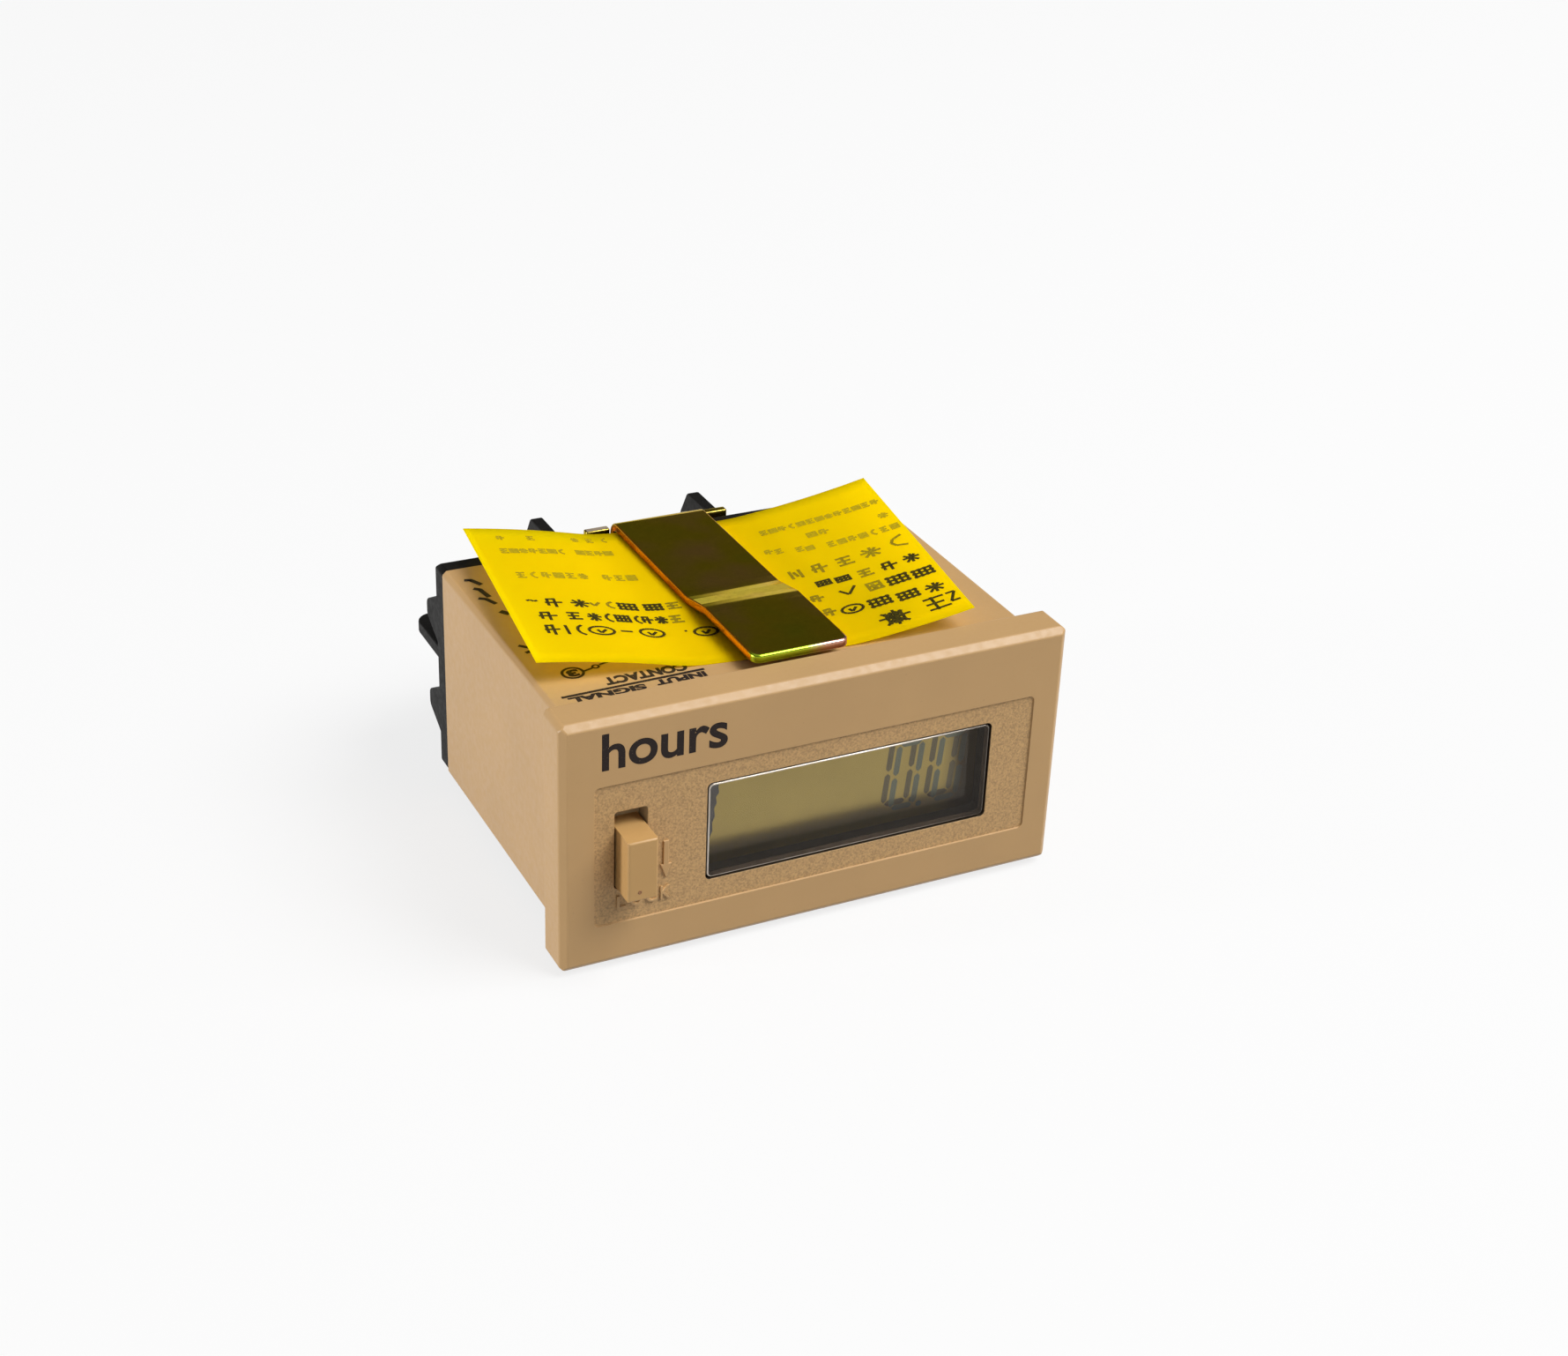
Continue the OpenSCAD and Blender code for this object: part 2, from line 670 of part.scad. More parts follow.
// Lip at the outer mouth of a terminal that keeps its wire in place
module wire_lip() {
    half = [lip_w / 2, lip_tip_w / 2];
    points = [[block_rear - cut, term_z - half.x], [block_rear, term_z - half.x],
              [block_rear + lip_l, term_z - half.y], [block_rear + lip_l, term_z + half.y],
              [block_rear, term_z + half.x], [block_rear - cut, term_z + half.x]];
    along_x(flange_w / 2 - lip_t, flange_w / 2)
        polygon(rounded(points, [0, 0, lip_tip_w * 0.45, lip_tip_w * 0.45, 0, 0]));
}

// Terminal block: a flange on the rear of the case, a plug inside it and barriers round the screws
module terminal_block() color(black_plastic) difference() {
    union() {
        intersection() {
            along_y(case_l, block_rear) cut_rect(flange_w, flange_h, case_edge);
            along_x(-flange_w, flange_w) translate([block_rear - flange_h / 2, 0])
                cut_rect(flange_h, flange_h, flange_edge);
        }
        along_y(case_l - plug_l, case_l) difference() {
            square([plug_w, plug_h], center = true);
            square([plug_w - 2 * plug_wall, plug_h - 2 * plug_wall], center = true);
        }
        for (side = [0, 1]) mirror([side, 0, 0]) {
            upright_barrier();
            level_barrier();
            for (down = [0, 1]) mirror([0, 0, down]) wire_lip();
        }
    }
    for (side = [-1, 1], up = [-1, 1]) {
        translate([side * term_x, 0, up * term_z]) rod(screw_r + slide, screw_tip - slide, block_rear + cut);
        along_y(case_l - cut, block_rear + cut) translate([side * (tail_x + tail_t / 2), up * term_z])
            square([tail_t + 2 * fit, tail_w + 2 * fit], center = true);
    }
}

// Brass plate of terminal i with its tail to the input board: 1 and 2 above, 3 and 4 below
module terminal_plate(i) color(brass_colour)
    mirror([i % 2, 0, 0]) mirror([0, 0, i > 2 ? 1 : 0]) {
        along_y(block_rear, plate_rear) translate([term_x, term_z]) difference() {
            square(plate_w, center = true);
            circle(screw_r + fit);
        }
        along_y(tail_front, block_rear) translate([tail_x + tail_t / 2, term_z])
            square([tail_t, tail_w], center = true);
    }

// Places of the four terminals, with +Y along each screw
module at_terminals() {
    for (side = [-1, 1], up = [-1, 1]) translate([side * term_x, 0, up * term_z]) children();
}

// Square clamp washers under the screws' heads
module clamp_washers() color(metal_colour) at_terminals() along_y(plate_rear, washer_rear) difference() {
    cut_rect(washer_w, washer_w, 0.6);
    circle(screw_r + slide);
}

// Terminal screws with domed heads and a cross recess
module terminal_screws() color(metal_colour) at_terminals() difference() {
    union() {
        rod(screw_r, screw_tip, washer_rear);
        translate([0, washer_rear, 0]) rotate([-90, 0, 0]) rotate_extrude()
            polygon([[0, 0], [head_r, 0], [head_r, head_t * 0.6], [head_r - 0.8, head_t], [0, head_t]]);
    }
    along_y(washer_rear + head_t - recess_t, washer_rear + head_t + cut) {
        square([recess_l, recess_w], center = true);
        square([recess_w, recess_l], center = true);
    }
}

// Half of the bracket's section on the far (outer) or near (inner) face of the sheet
function leg_path(out, rear) =
    [[tip_gap, leg_front_z + out], [joggle_y, leg_front_z + out], [joggle_y + joggle_l, leg_z + out],
     [rear, leg_z + out]];

// Spring steel bracket: two legs with a raised front third, joined by a plate across the rear
module mounting_bracket() color(zinc_colour) {
    outer = leg_path(sheet_t, bridge_rear);
    inner = leg_path(0, bridge_y);
    outer_r = [0, ramp_r, ramp_r, bend_r];
    inner_r = [0, ramp_r, ramp_r, bend_r - sheet_t];
    intersection() {
        along_x(-leg_w / 2, leg_w / 2)
            polygon(rounded(
                concat(outer, reversed(flipped(outer)), flipped(inner), reversed(inner)),
                concat(outer_r, reversed(outer_r), inner_r, reversed(inner_r))));
        translate([0, (tip_gap + bridge_rear + cut) / 2, -bezel_h])
            linear_extrude(2 * bezel_h) round_rect(leg_w, bridge_rear + cut - tip_gap, tip_r);
    }
    along_y(bridge_y, bridge_rear) {
        square([bridge_w, case_h - 2 * bend_r], center = true);
        for (side = [-1, 1])
            translate([side * (bridge_w + leg_w + 2 * shoulder_slit) / 4, 0])
                square([(bridge_w - leg_w) / 2 - shoulder_slit, case_h + 2 * shoulder_rise], center = true);
    }
}

// Height gained by a side of the slip at s past its bend, from the rise of its slope and the curl that changes it
function slip_height(s, rise, curl) =
    rise * (s < slip_bend ? s * s / (2 * slip_bend) : s - slip_bend / 2) + curl * s * s / 2;

// Width lost to that slope at s past the bend
function slip_loss(s, rise, curl) =
    let (start = rise / slip_bend + curl, first = min(s, slip_bend), turned = rise + curl * slip_bend)
    start * start * pow(first, 3) / 6
    + (s > slip_bend ? (pow(rise + curl * s, 3) - pow(turned, 3)) / (6 * curl) : 0);

// Shift that a side of the slip gives to the point p of the flat sheet
function slip_side(p, side, rise, curl, skew) =
    let (out = [side * cos(skew), sin(skew)], s = p * out - slip_flat * cos(skew))
    s <= 0 ? [0, 0, 0] : concat(-out * slip_loss(s, rise, curl), slip_height(s, rise, curl));

// Point of the slip at u across (-1 to 1) and v along it (0 at the front, 1 at the rear), lifted by up
function slip_point(u, v, up) =
    let (
        flat = [u * slip_w / 2, (v - 0.5) * slip_l],
        p = concat(flat, up) + slip_side(flat, -1, slip_left_rise, slip_curl[0], slip_skew[0])
            + slip_side(flat, 1, slip_right_rise, slip_curl[1], slip_skew[1])
    )
    [p.x * cos(slip_turn) - p.y * sin(slip_turn) - slip_shift,
     p.x * sin(slip_turn) + p.y * cos(slip_turn) + slip_y, case_h / 2 + p.z];

// Paper slip under the bracket, flat in the middle and rising at its sides
module instruction_slip() {
    across = slip_steps + 1;
    layer = across * (slip_rows + 1);
    gap = (bracket_gap - slip_t) / 2;
    points = [for (up = [gap, gap + slip_t], j = [0:slip_rows], i = [0:slip_steps])
        slip_point(2 * i / slip_steps - 1, j / slip_rows, up)];
    cells = [for (j = [0:slip_rows - 1], i = [0:slip_steps - 1]) j * across + i];
    lower = [for (c = cells) each [[c, c + 1, c + across], [c + 1, c + across + 1, c + across]]];
    upper = [for (f = lower) [f[2] + layer, f[1] + layer, f[0] + layer]];
    rim = concat([for (i = [0:slip_steps - 1]) i],
                 [for (j = [0:slip_rows - 1]) j * across + slip_steps],
                 [for (i = [slip_steps:-1:1]) slip_rows * across + i],
                 [for (j = [slip_rows:-1:1]) j * across]);
    edge = [for (k = [0:len(rim) - 1])
        let (a = rim[k], b = rim[(k + 1) % len(rim)])
        [b, a, a + layer, b + layer]];
    color(paper_colour) polyhedron(points, concat(lower, upper, edge));
}

case();
display_window();
reset_key();
key_carriage();
key_spring();
lcd_holder();
lcd_cell();
upper_contact_strip();
lower_contact_strip();
display_board();
reset_switch();
counter_chip();
quartz_crystal();
chip_capacitors();
battery_cell();
battery_positive_tab();
battery_negative_tab();
board_link_pins();
input_board();
photocoupler();
input_resistors();
smoothing_capacitor();
terminal_block();
for (i = TERMINALS) terminal_plate(i);
clamp_washers();
terminal_screws();
mounting_bracket();
instruction_slip();
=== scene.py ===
import math

import bmesh
import bpy
from mathutils import Matrix, Quaternion, Vector


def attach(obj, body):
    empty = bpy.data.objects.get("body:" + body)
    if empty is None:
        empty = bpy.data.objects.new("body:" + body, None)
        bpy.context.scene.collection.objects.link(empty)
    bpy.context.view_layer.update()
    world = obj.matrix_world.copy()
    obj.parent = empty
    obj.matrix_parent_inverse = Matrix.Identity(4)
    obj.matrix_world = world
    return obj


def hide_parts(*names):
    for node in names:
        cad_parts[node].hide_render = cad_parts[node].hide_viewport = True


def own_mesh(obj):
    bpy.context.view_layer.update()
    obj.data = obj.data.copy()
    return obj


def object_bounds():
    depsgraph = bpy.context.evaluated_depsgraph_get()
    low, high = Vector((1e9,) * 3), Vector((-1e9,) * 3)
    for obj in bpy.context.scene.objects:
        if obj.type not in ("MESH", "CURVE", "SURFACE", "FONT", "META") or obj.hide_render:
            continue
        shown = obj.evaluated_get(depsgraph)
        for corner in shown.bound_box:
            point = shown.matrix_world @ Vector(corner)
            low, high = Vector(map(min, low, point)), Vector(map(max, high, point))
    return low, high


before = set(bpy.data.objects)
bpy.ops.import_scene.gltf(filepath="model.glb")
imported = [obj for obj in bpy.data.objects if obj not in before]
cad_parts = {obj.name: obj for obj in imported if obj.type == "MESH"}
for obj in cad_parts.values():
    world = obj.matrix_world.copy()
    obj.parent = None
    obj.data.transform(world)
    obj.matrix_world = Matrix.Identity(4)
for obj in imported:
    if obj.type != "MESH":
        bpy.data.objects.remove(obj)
cad_low, cad_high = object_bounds()

# Case and bezel
# One moulding of tan plastic with the bezel at its front, open at the rear for the terminal block.
# The bezel is smooth, and the panel let into its face is grained by the mould.
mm = 0.001
tan = (0.52, 0.318, 0.135)


def finish(name, colour, roughness, metallic=0.0):
    """A material of one colour, to which its section adds the detail."""
    material = bpy.data.materials.new(name)
    material.use_nodes = True
    shader = material.node_tree.nodes["Principled BSDF"]
    shader.inputs["Base Color"].default_value = (*colour, 1)
    shader.inputs["Roughness"].default_value = roughness
    shader.inputs["Metallic"].default_value = metallic
    return material, material.node_tree, shader


def mottle(tree, size, detail=2.0, stretch=(1, 1, 1)):
    """A cloudy pattern on the piece's own coordinates, with spots of about the given size."""
    place = tree.nodes.new("ShaderNodeTexCoord")
    turn = tree.nodes.new("ShaderNodeMapping")
    turn.inputs["Scale"].default_value = stretch
    cloud = tree.nodes.new("ShaderNodeTexNoise")
    cloud.inputs["Scale"].default_value = 1 / size
    cloud.inputs["Detail"].default_value = detail
    tree.links.new(place.outputs["Object"], turn.inputs["Vector"])
    tree.links.new(turn.outputs["Vector"], cloud.inputs["Vector"])
    return cloud.outputs["Fac"]


def shades(tree, pattern, *stops):
    """Colours along a pattern, from stops of a place between 0 and 1 and a colour."""
    ramp = tree.nodes.new("ShaderNodeValToRGB")
    marks = ramp.color_ramp.elements
    marks[0].position, marks[1].position = stops[0][0], stops[-1][0]
    for place, colour in stops[1:-1]:
        marks.new(place)
    for mark, (place, colour) in zip(marks, stops):
        mark.color = (*colour, 1)
    tree.links.new(pattern, ramp.inputs["Fac"])
    return ramp.outputs["Color"]


def lit(colour, share):
    """A colour made lighter or darker."""
    return tuple(c * share for c in colour)


def over(tree, lower, upper):
    """One colour multiplied by another."""
    mix = tree.nodes.new("ShaderNodeMix")
    mix.data_type = "RGBA"
    mix.blend_type = "MULTIPLY"
    mix.inputs["Factor"].default_value = 1
    tree.links.new(lower, mix.inputs["A"])
    tree.links.new(upper, mix.inputs["B"])
    return mix.outputs["Result"]


def relief(tree, shader, pattern, depth):
    """Raises the surface by a pattern, to the given depth."""
    bump = tree.nodes.new("ShaderNodeBump")
    bump.inputs["Distance"].default_value = depth
    bump.inputs["Strength"].default_value = 1
    tree.links.new(pattern, bump.inputs["Height"])
    tree.links.new(bump.outputs["Normal"], shader.inputs["Normal"])


def dulled(tree, shader, pattern, low, high):
    """Roughness that varies between two values with a pattern."""
    span = tree.nodes.new("ShaderNodeMapRange")
    span.inputs["From Min"].default_value = 0.3
    span.inputs["From Max"].default_value = 0.7
    span.inputs["To Min"].default_value = low
    span.inputs["To Max"].default_value = high
    tree.links.new(pattern, span.inputs["Value"])
    tree.links.new(span.outputs["Result"], shader.inputs["Roughness"])


def moulded(name, colour, roughness, grain, depth, fleck=0.9):
    """Moulded plastic: faint clouds of colour, a few dark flecks and a fine grain."""
    material, tree, shader = finish(name, colour, roughness)
    clouds = shades(tree, mottle(tree, 9 * mm), (0.3, lit(colour, 0.97)), (0.7, lit(colour, 1.03)))
    flecks = shades(tree, mottle(tree, 0.3 * mm, 1), (0.2, (fleck,) * 3), (0.26, (1, 1, 1)))
    tree.links.new(over(tree, clouds, flecks), shader.inputs["Base Color"])
    fine = mottle(tree, grain)
    dulled(tree, shader, fine, roughness - 0.05, roughness + 0.07)
    relief(tree, shader, fine, depth)
    return material


def add_piece(name, mesh, body, slot, *materials):
    """Puts a mesh in the scene as a piece that rides on a body."""
    piece = bpy.data.objects.new(name, mesh)
    bpy.context.scene.collection.objects.link(piece)
    for material in materials:
        mesh.materials.append(material)
    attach(piece, body)
    return piece


def from_form(name, form):
    """Ends a bmesh and gives its mesh."""
    mesh = bpy.data.meshes.new(name)
    form.to_mesh(mesh)
    form.free()
    return mesh


weld, flat_angle, sharp_angle = 0.002 * mm, math.radians(0.5), math.radians(28)


def softened(name, node, body, slot, round_over, *materials, share=None, sort=None, edge_material=-1,
             flats=2 * mm ** 2, reshape=None, cuts=()):
    """A copy of a rigid piece with its sharp edges rounded over, as moulding or stamping leaves them.
    share gives the part of round_over that an edge takes, sort the number of a face's material and reshape
    the new place of a point. Faces larger than flats stay plain up to their edges, and cuts across Y divide them."""
    form = bmesh.new()
    form.from_mesh(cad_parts[node].data)
    bmesh.ops.remove_doubles(form, verts=form.verts, dist=weld)
    bmesh.ops.dissolve_limit(form, angle_limit=flat_angle, verts=form.verts, edges=form.edges)
    for vertex in form.verts if reshape else ():
        vertex.co = reshape(vertex.co)
    for y in cuts:
        whole = form.verts[:] + form.edges[:] + form.faces[:]
        bmesh.ops.bisect_plane(form, geom=whole, plane_co=(0, y, 0), plane_no=(0, 1, 0))
    weight = form.edges.layers.float.new("bevel_weight_edge")
    for edge in form.edges:
        if len(edge.link_faces) == 2 and edge.calc_face_angle(0) > sharp_angle:
            edge[weight] = share(edge) if share else 1
    for face in form.faces:
        face.smooth = True
        face.material_index = sort(face) if sort else 0
    piece = add_piece(name, from_form(name, form), body, slot, *materials)
    rounding = piece.modifiers.new("rounded_edges", "BEVEL")
    rounding.width = round_over
    rounding.segments = 3
    rounding.limit_method = "WEIGHT"
    rounding.use_clamp_overlap = False
    rounding.material = edge_material
    rounded = bpy.data.meshes.new_from_object(piece.evaluated_get(bpy.context.evaluated_depsgraph_get()))
    piece.modifiers.clear()
    form = bmesh.new()
    form.from_mesh(rounded)
    for edge in form.edges:
        edge.smooth = all(face.calc_area() < flats for face in edge.link_faces)
    form.to_mesh(rounded)
    form.free()
    piece.data = rounded
    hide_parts(node)


front_y, panel_y, wall_rear_y, top_z = -4.15 * mm, -4.0 * mm, -2 * mm, 10.75 * mm
panel_area = (-21.2 * mm, 21.2 * mm, -8.2 * mm, 6 * mm)
slot_area = (-19.25 * mm, -16.05 * mm, -4.68 * mm, 3.12 * mm)
window_area = (-10.9 * mm, 17.1 * mm, -5.85 * mm, 4.15 * mm)
tan_plastic = moulded("tan_plastic", tan, 0.42, 0.6 * mm, 0.003 * mm)

grained_plastic, tree, shader = finish("grained_tan_plastic", tan, 0.5)
spark = mottle(tree, 0.17 * mm)
tree.links.new(shades(tree, spark, (0.3, lit(tan, 0.72)), (0.5, lit(tan, 0.97)), (0.68, lit(tan, 1.14))),
               shader.inputs["Base Color"])
relief(tree, shader, spark, 0.025 * mm)


def within(point, area):
    """Whether a point of the front wall lies in an area, given by its left, right, lower and upper ends."""
    left, right, low, high = area
    return point.y < wall_rear_y and left < point.x < right and low < point.z < high


def bezel_edges(edge):
    """Full rounding on the outer edges, and a little on the rims of the panel, window and slot."""
    return 0.35 if all(within(v.co, panel_area) for v in edge.verts) else 1


plain_face, grained_face, slot_wall, painted_light_slot_wall, painted_shade_opening_wall = range(5)


def case_face(face):
    """The panel is grained. The walls of the key's slot are duller and painted darker, a painted shade. Those at its
    right and top are painted paler, a painted light that lifts their shade, and the walls of the window's opening are
    painted almost black, a painted shade."""
    centre = face.calc_center_median()
    if abs(centre.y - panel_y) < 0.02 * mm and face.normal.y < -0.9:
        return grained_face
    if abs(face.normal.y) > 0.5:
        return plain_face
    if within(centre, slot_area):
        return painted_light_slot_wall if face.normal.x < -0.5 or face.normal.z < -0.5 else slot_wall
    return painted_shade_opening_wall if within(centre, window_area) else plain_face


# The slot's walls are painted darker than the case, a painted shade, and those at its right and top paler, a painted
# light. The window opening's walls are painted almost black, a painted shade.
slot_plastic = moulded("slot_plastic", lit(tan, 0.4), 0.6, 0.4 * mm, 0.004 * mm)
slot_painted_light = moulded("slot_painted_light", (0.48, 0.38, 0.24), 0.6, 0.4 * mm, 0.004 * mm)
opening_painted_shade = moulded("opening_painted_shade", lit(tan, 0.08), 0.6, 0.4 * mm, 0.004 * mm)
softened("case_moulding", "case", "housing", "case_tan", 0.13 * mm, tan_plastic, grained_plastic, slot_plastic,
         slot_painted_light, opening_painted_shade, share=bezel_edges, sort=case_face)

# Raised signs beside the reset key
# Small letters and an arrow stand out of the grained panel in the same plastic.
# They are cut into the mould, so their sides are soft.
sign_height, letter_height, letter_foot = 0.18 * mm, 1.3 * mm, -6.55 * mm
front_reading = dict(right=(1, 0, 0), up=(0, 0, 1))


def lettering(words, width, height, thickness, bold=0.0, soft=0.0):
    """Letters as a thin solid of the given size, with its lower left corner at the origin, facing +Z."""
    script = bpy.data.curves.new("letters", "FONT")
    script.body = words
    script.extrude = 0.05
    script.offset = bold
    script.bevel_depth = soft
    holder = bpy.data.objects.new("letters", script)
    bpy.context.scene.collection.objects.link(holder)
    mesh = bpy.data.meshes.new_from_object(holder.evaluated_get(bpy.context.evaluated_depsgraph_get()))
    bpy.data.objects.remove(holder)
    low = Vector(min(v.co[i] for v in mesh.vertices) for i in range(3))
    high = Vector(max(v.co[i] for v in mesh.vertices) for i in range(3))
    size = high - low
    fitted = Matrix.Diagonal((width / size.x, height / size.y, thickness / size.z, 1))
    mesh.transform(fitted @ Matrix.Translation(-low))
    return mesh


def standing(right, up, corner):
    """The place of a flat sign that reads along right, with its top towards up."""
    right, up = Vector(right), Vector(up)
    out = right.cross(up)
    return Matrix((
        (right.x, up.x, out.x, corner[0]), (right.y, up.y, out.y, corner[1]), (right.z, up.z, out.z, corner[2]),
        (0, 0, 0, 1)))


for letter, x, width in (("L", -18.95, 0.85), ("O", -17.75, 1.15), ("C", -16.3, 1.1), ("K", -14.95, 0.95)):
    mesh = lettering(letter, width * mm, letter_height, 2 * sign_height, soft=0.02)
    mesh.transform(standing(corner=(x * mm, panel_y + sign_height, letter_foot), **front_reading))
    add_piece("raised_letter_" + letter, mesh, "housing", "case_tan", tan_plastic)

form = bmesh.new()
arrow_x, arrow_z = -14.48, -3.05
outline = [(-0.25, 2.3), (-0.25, 0), (-0.5, 0), (0, -1.4), (0.5, 0), (0.25, 0), (0.25, 2.3)]
corners = [((x + arrow_x) * mm, panel_y + sign_height, (z + arrow_z) * mm) for x, z in outline]
arrow_face = form.faces.new([form.verts.new(corner) for corner in corners])
grown = bmesh.ops.extrude_face_region(form, geom=[arrow_face])["geom"]
bmesh.ops.translate(form, vec=(0, -2 * sign_height, 0), verts=[v for v in grown if isinstance(v, bmesh.types.BMVert)])
bmesh.ops.recalc_face_normals(form, faces=form.faces)
bmesh.ops.bevel(form, geom=[e for e in form.edges if all(v.co.y < panel_y for v in e.verts)], offset=0.05 * mm,
                affect="EDGES", segments=2, profile=0.5, material=-1)
add_piece("raised_arrow", from_form("raised_arrow", form), "housing", "case_tan", tan_plastic)

# Printed legend on the bezel and wiring signs on top of the case
# Black pad printing, a hundredth of a millimetre thick, with small gaps where the ink missed.
# The signs on top are read from the rear, where the wires are.
ink, tree, shader = finish("black_ink", (0.02, 0.014, 0.012), 0.6)
shader.inputs["Specular IOR Level"].default_value = 0.2
gaps = mottle(tree, 0.16 * mm, 1)
tree.links.new(shades(tree, gaps, (0.66, (0.02, 0.013, 0.011)), (0.74, (0.1, 0.07, 0.045))),
               shader.inputs["Base Color"])
relief(tree, shader, gaps, 0.01 * mm)
ink_height = 0.012 * mm

mesh = lettering("hours", 11.3 * mm, 3.5 * mm, 2 * ink_height, bold=0.018)
mesh.transform(standing(corner=(-20.35 * mm, front_y + ink_height, 7.26 * mm), **front_reading))
add_piece("hours_legend", mesh, "housing", "case_tan", ink)

rear_reading = dict(right=(-1, 0, 0), up=(0, -1, 0))
for name, words, x, y, width, height, bold in (
        ("sign_signal", "SIGNAL", -13.8, 2.6, 6.9, 0.95, 0.055),
        ("sign_input", "INPUT", -8.2, 2.75, 4.6, 0.95, 0.055),
        ("sign_contact", "CONTACT", -9.2, 4.75, 7.5, 1.35, 0.055),
        ("sign_three", "3", -18.1, 7.15, 1.05, 1.25, 0.06)):
    mesh = lettering(words, width * mm, height * mm, 2 * ink_height, bold=bold)
    mesh.transform(standing(corner=(x * mm, y * mm, top_z - ink_height), **rear_reading))
    add_piece(name, mesh, "housing", "case_tan", ink)


def bar(form, start, end, width):
    """A flat bar between two points of the XY plane, facing +Z."""
    start, end = Vector((*start, 0)), Vector((*end, 0))
    made = bmesh.ops.create_grid(form, x_segments=1, y_segments=1, size=0.5)["verts"]
    along = end - start
    bmesh.ops.scale(form, vec=(along.length, width, 1), verts=made)
    bmesh.ops.rotate(form, matrix=Matrix.Rotation(math.atan2(along.y, along.x), 3, "Z"), verts=made)
    bmesh.ops.translate(form, vec=(start + end) / 2, verts=made)
    return made


def ring(form, centre, radius, width):
    """A flat ring in the XY plane, facing +Z."""
    verts = bmesh.ops.create_circle(form, cap_ends=True, segments=40, radius=radius)["verts"]
    disc = verts[0].link_faces[0]
    bmesh.ops.inset_individual(form, faces=[disc], thickness=width)
    bmesh.ops.translate(form, vec=(*centre, 0), verts=verts + disc.verts[:])
    bmesh.ops.delete(form, geom=[disc], context="FACES_ONLY")


form = bmesh.new()
for start, end, width in (
        ((-21.1, 2.85), (-8.0, 3.05), 0.34), ((-17.6, 6.5), (-16.75, 6.75), 0.24),
        ((-16.0, 7.1), (-15.0, 7.3), 0.24), ((-21.15, 26.6), (-20.55, 26.4), 0.5),
        ((-20.65, 26.5), (-20.0, 25.2), 0.5), ((-20.95, 24.7), (-20.45, 24.3), 0.5),
        ((-20.5, 24.4), (-20.2, 22.6), 0.5), ((-21.2, 22.7), (-20.6, 22.3), 0.45),
        ((-20.65, 22.4), (-20.1, 21.1), 0.45), ((-20.3, 19.6), (-19.7, 18.8), 0.6),
        ((-21.1, 12.9), (-20.4, 12.2), 0.4), ((-21.0, 11.4), (-20.4, 11.6), 0.4)):
    bar(form, [p * mm for p in start], [p * mm for p in end], width * mm)
ring(form, (-18.62 * mm, 6.55 * mm), 1.04 * mm, 0.26 * mm)
ring(form, (-16.4 * mm, 6.9 * mm), 0.38 * mm, 0.2 * mm)
bmesh.ops.translate(form, vec=(0, 0, top_z + ink_height), verts=form.verts)
add_piece("wiring_signs", from_form("wiring_signs", form), "housing", "case_tan", ink)

# Display window
# A clear moulding let into the front from behind, with a rounded front edge and a flange behind the wall.
# It is held by the display holder.
clear, tree, shader = finish("clear_plastic", (0.97, 0.97, 0.95), 0.0)
shader.inputs["Transmission Weight"].default_value = 1
shader.inputs["IOR"].default_value = 1.49
shader.inputs["Specular Tint"].default_value = (0.5, 0.42, 0.34, 1)
relief(tree, shader, mottle(tree, 6 * mm), 0.002 * mm)


def along_axis(tree, axis, start, end):
    """A pattern that goes from 0 to 1 between two places along one axis of the piece."""
    place = tree.nodes.new("ShaderNodeTexCoord")
    axes = tree.nodes.new("ShaderNodeSeparateXYZ")
    span = tree.nodes.new("ShaderNodeMapRange")
    span.inputs["From Min"].default_value = start
    span.inputs["From Max"].default_value = end
    tree.links.new(place.outputs["Object"], axes.inputs["Vector"])
    tree.links.new(axes.outputs[axis], span.inputs["Value"])
    return span.outputs["Result"]


def dimmed(tree, colour, axis, start, end, dim):
    """Paints shade over a colour along one axis of the piece, from none at start to dim at end."""
    shade = shades(tree, along_axis(tree, axis, start, end), (0.0, (1, 1, 1)), (1.0, dim))
    tree.links.new(over(tree, colour.links[0].from_socket, shade), colour)


# The rounded front edges of the clear window are painted pale and half metallic, a painted highlight, which fades into
# a painted shade towards the right.
painted_edge_highlight, tree, shader = finish("window_edge_painted_highlight", (0.78, 0.7, 0.6), 0.2)
tree.links.new(shades(tree, mottle(tree, 1.5 * mm), (0.3, (0.7, 0.62, 0.52)), (0.7, (0.85, 0.78, 0.7))),
               shader.inputs["Base Color"])
shader.inputs["Metallic"].default_value = 0.4
dimmed(tree, shader.inputs["Base Color"], "X", 6 * mm, 15.5 * mm, (0.2, 0.19, 0.18))
# The window's sides in front of the flange are painted dark brown, a painted shade.
painted_side_shade, tree, shader = finish("window_side_painted_shade", (0.13, 0.09, 0.06), 0.6)
shader.inputs["Specular IOR Level"].default_value = 0.1
tree.links.new(shades(tree, mottle(tree, 2 * mm), (0.3, (0.11, 0.075, 0.05)), (0.7, (0.15, 0.105, 0.07))),
               shader.inputs["Base Color"])
window_front_y, window_flange_y = -3.9 * mm, -2.2 * mm
window_gap, window_middle = 0.1 * mm, Vector((3.1, 0, -0.85)) * mm


def window_edges(edge):
    """Full rounding on the front edges and hardly any behind."""
    return 1 if all(v.co.y < window_front_y for v in edge.verts) else 0.15


def window_face(face):
    """The sides in front of the flange are painted dark, a painted shade."""
    return 2 if abs(face.normal.y) < 0.5 and face.calc_center_median().y < window_flange_y else 0


def drawn_in(point):
    """Leaves a thin dark gap between the front of the window and its opening."""
    out = point - window_middle
    if point.y > window_front_y:
        return point
    return point - Vector((math.copysign(window_gap, out.x), 0, math.copysign(window_gap, out.z)))


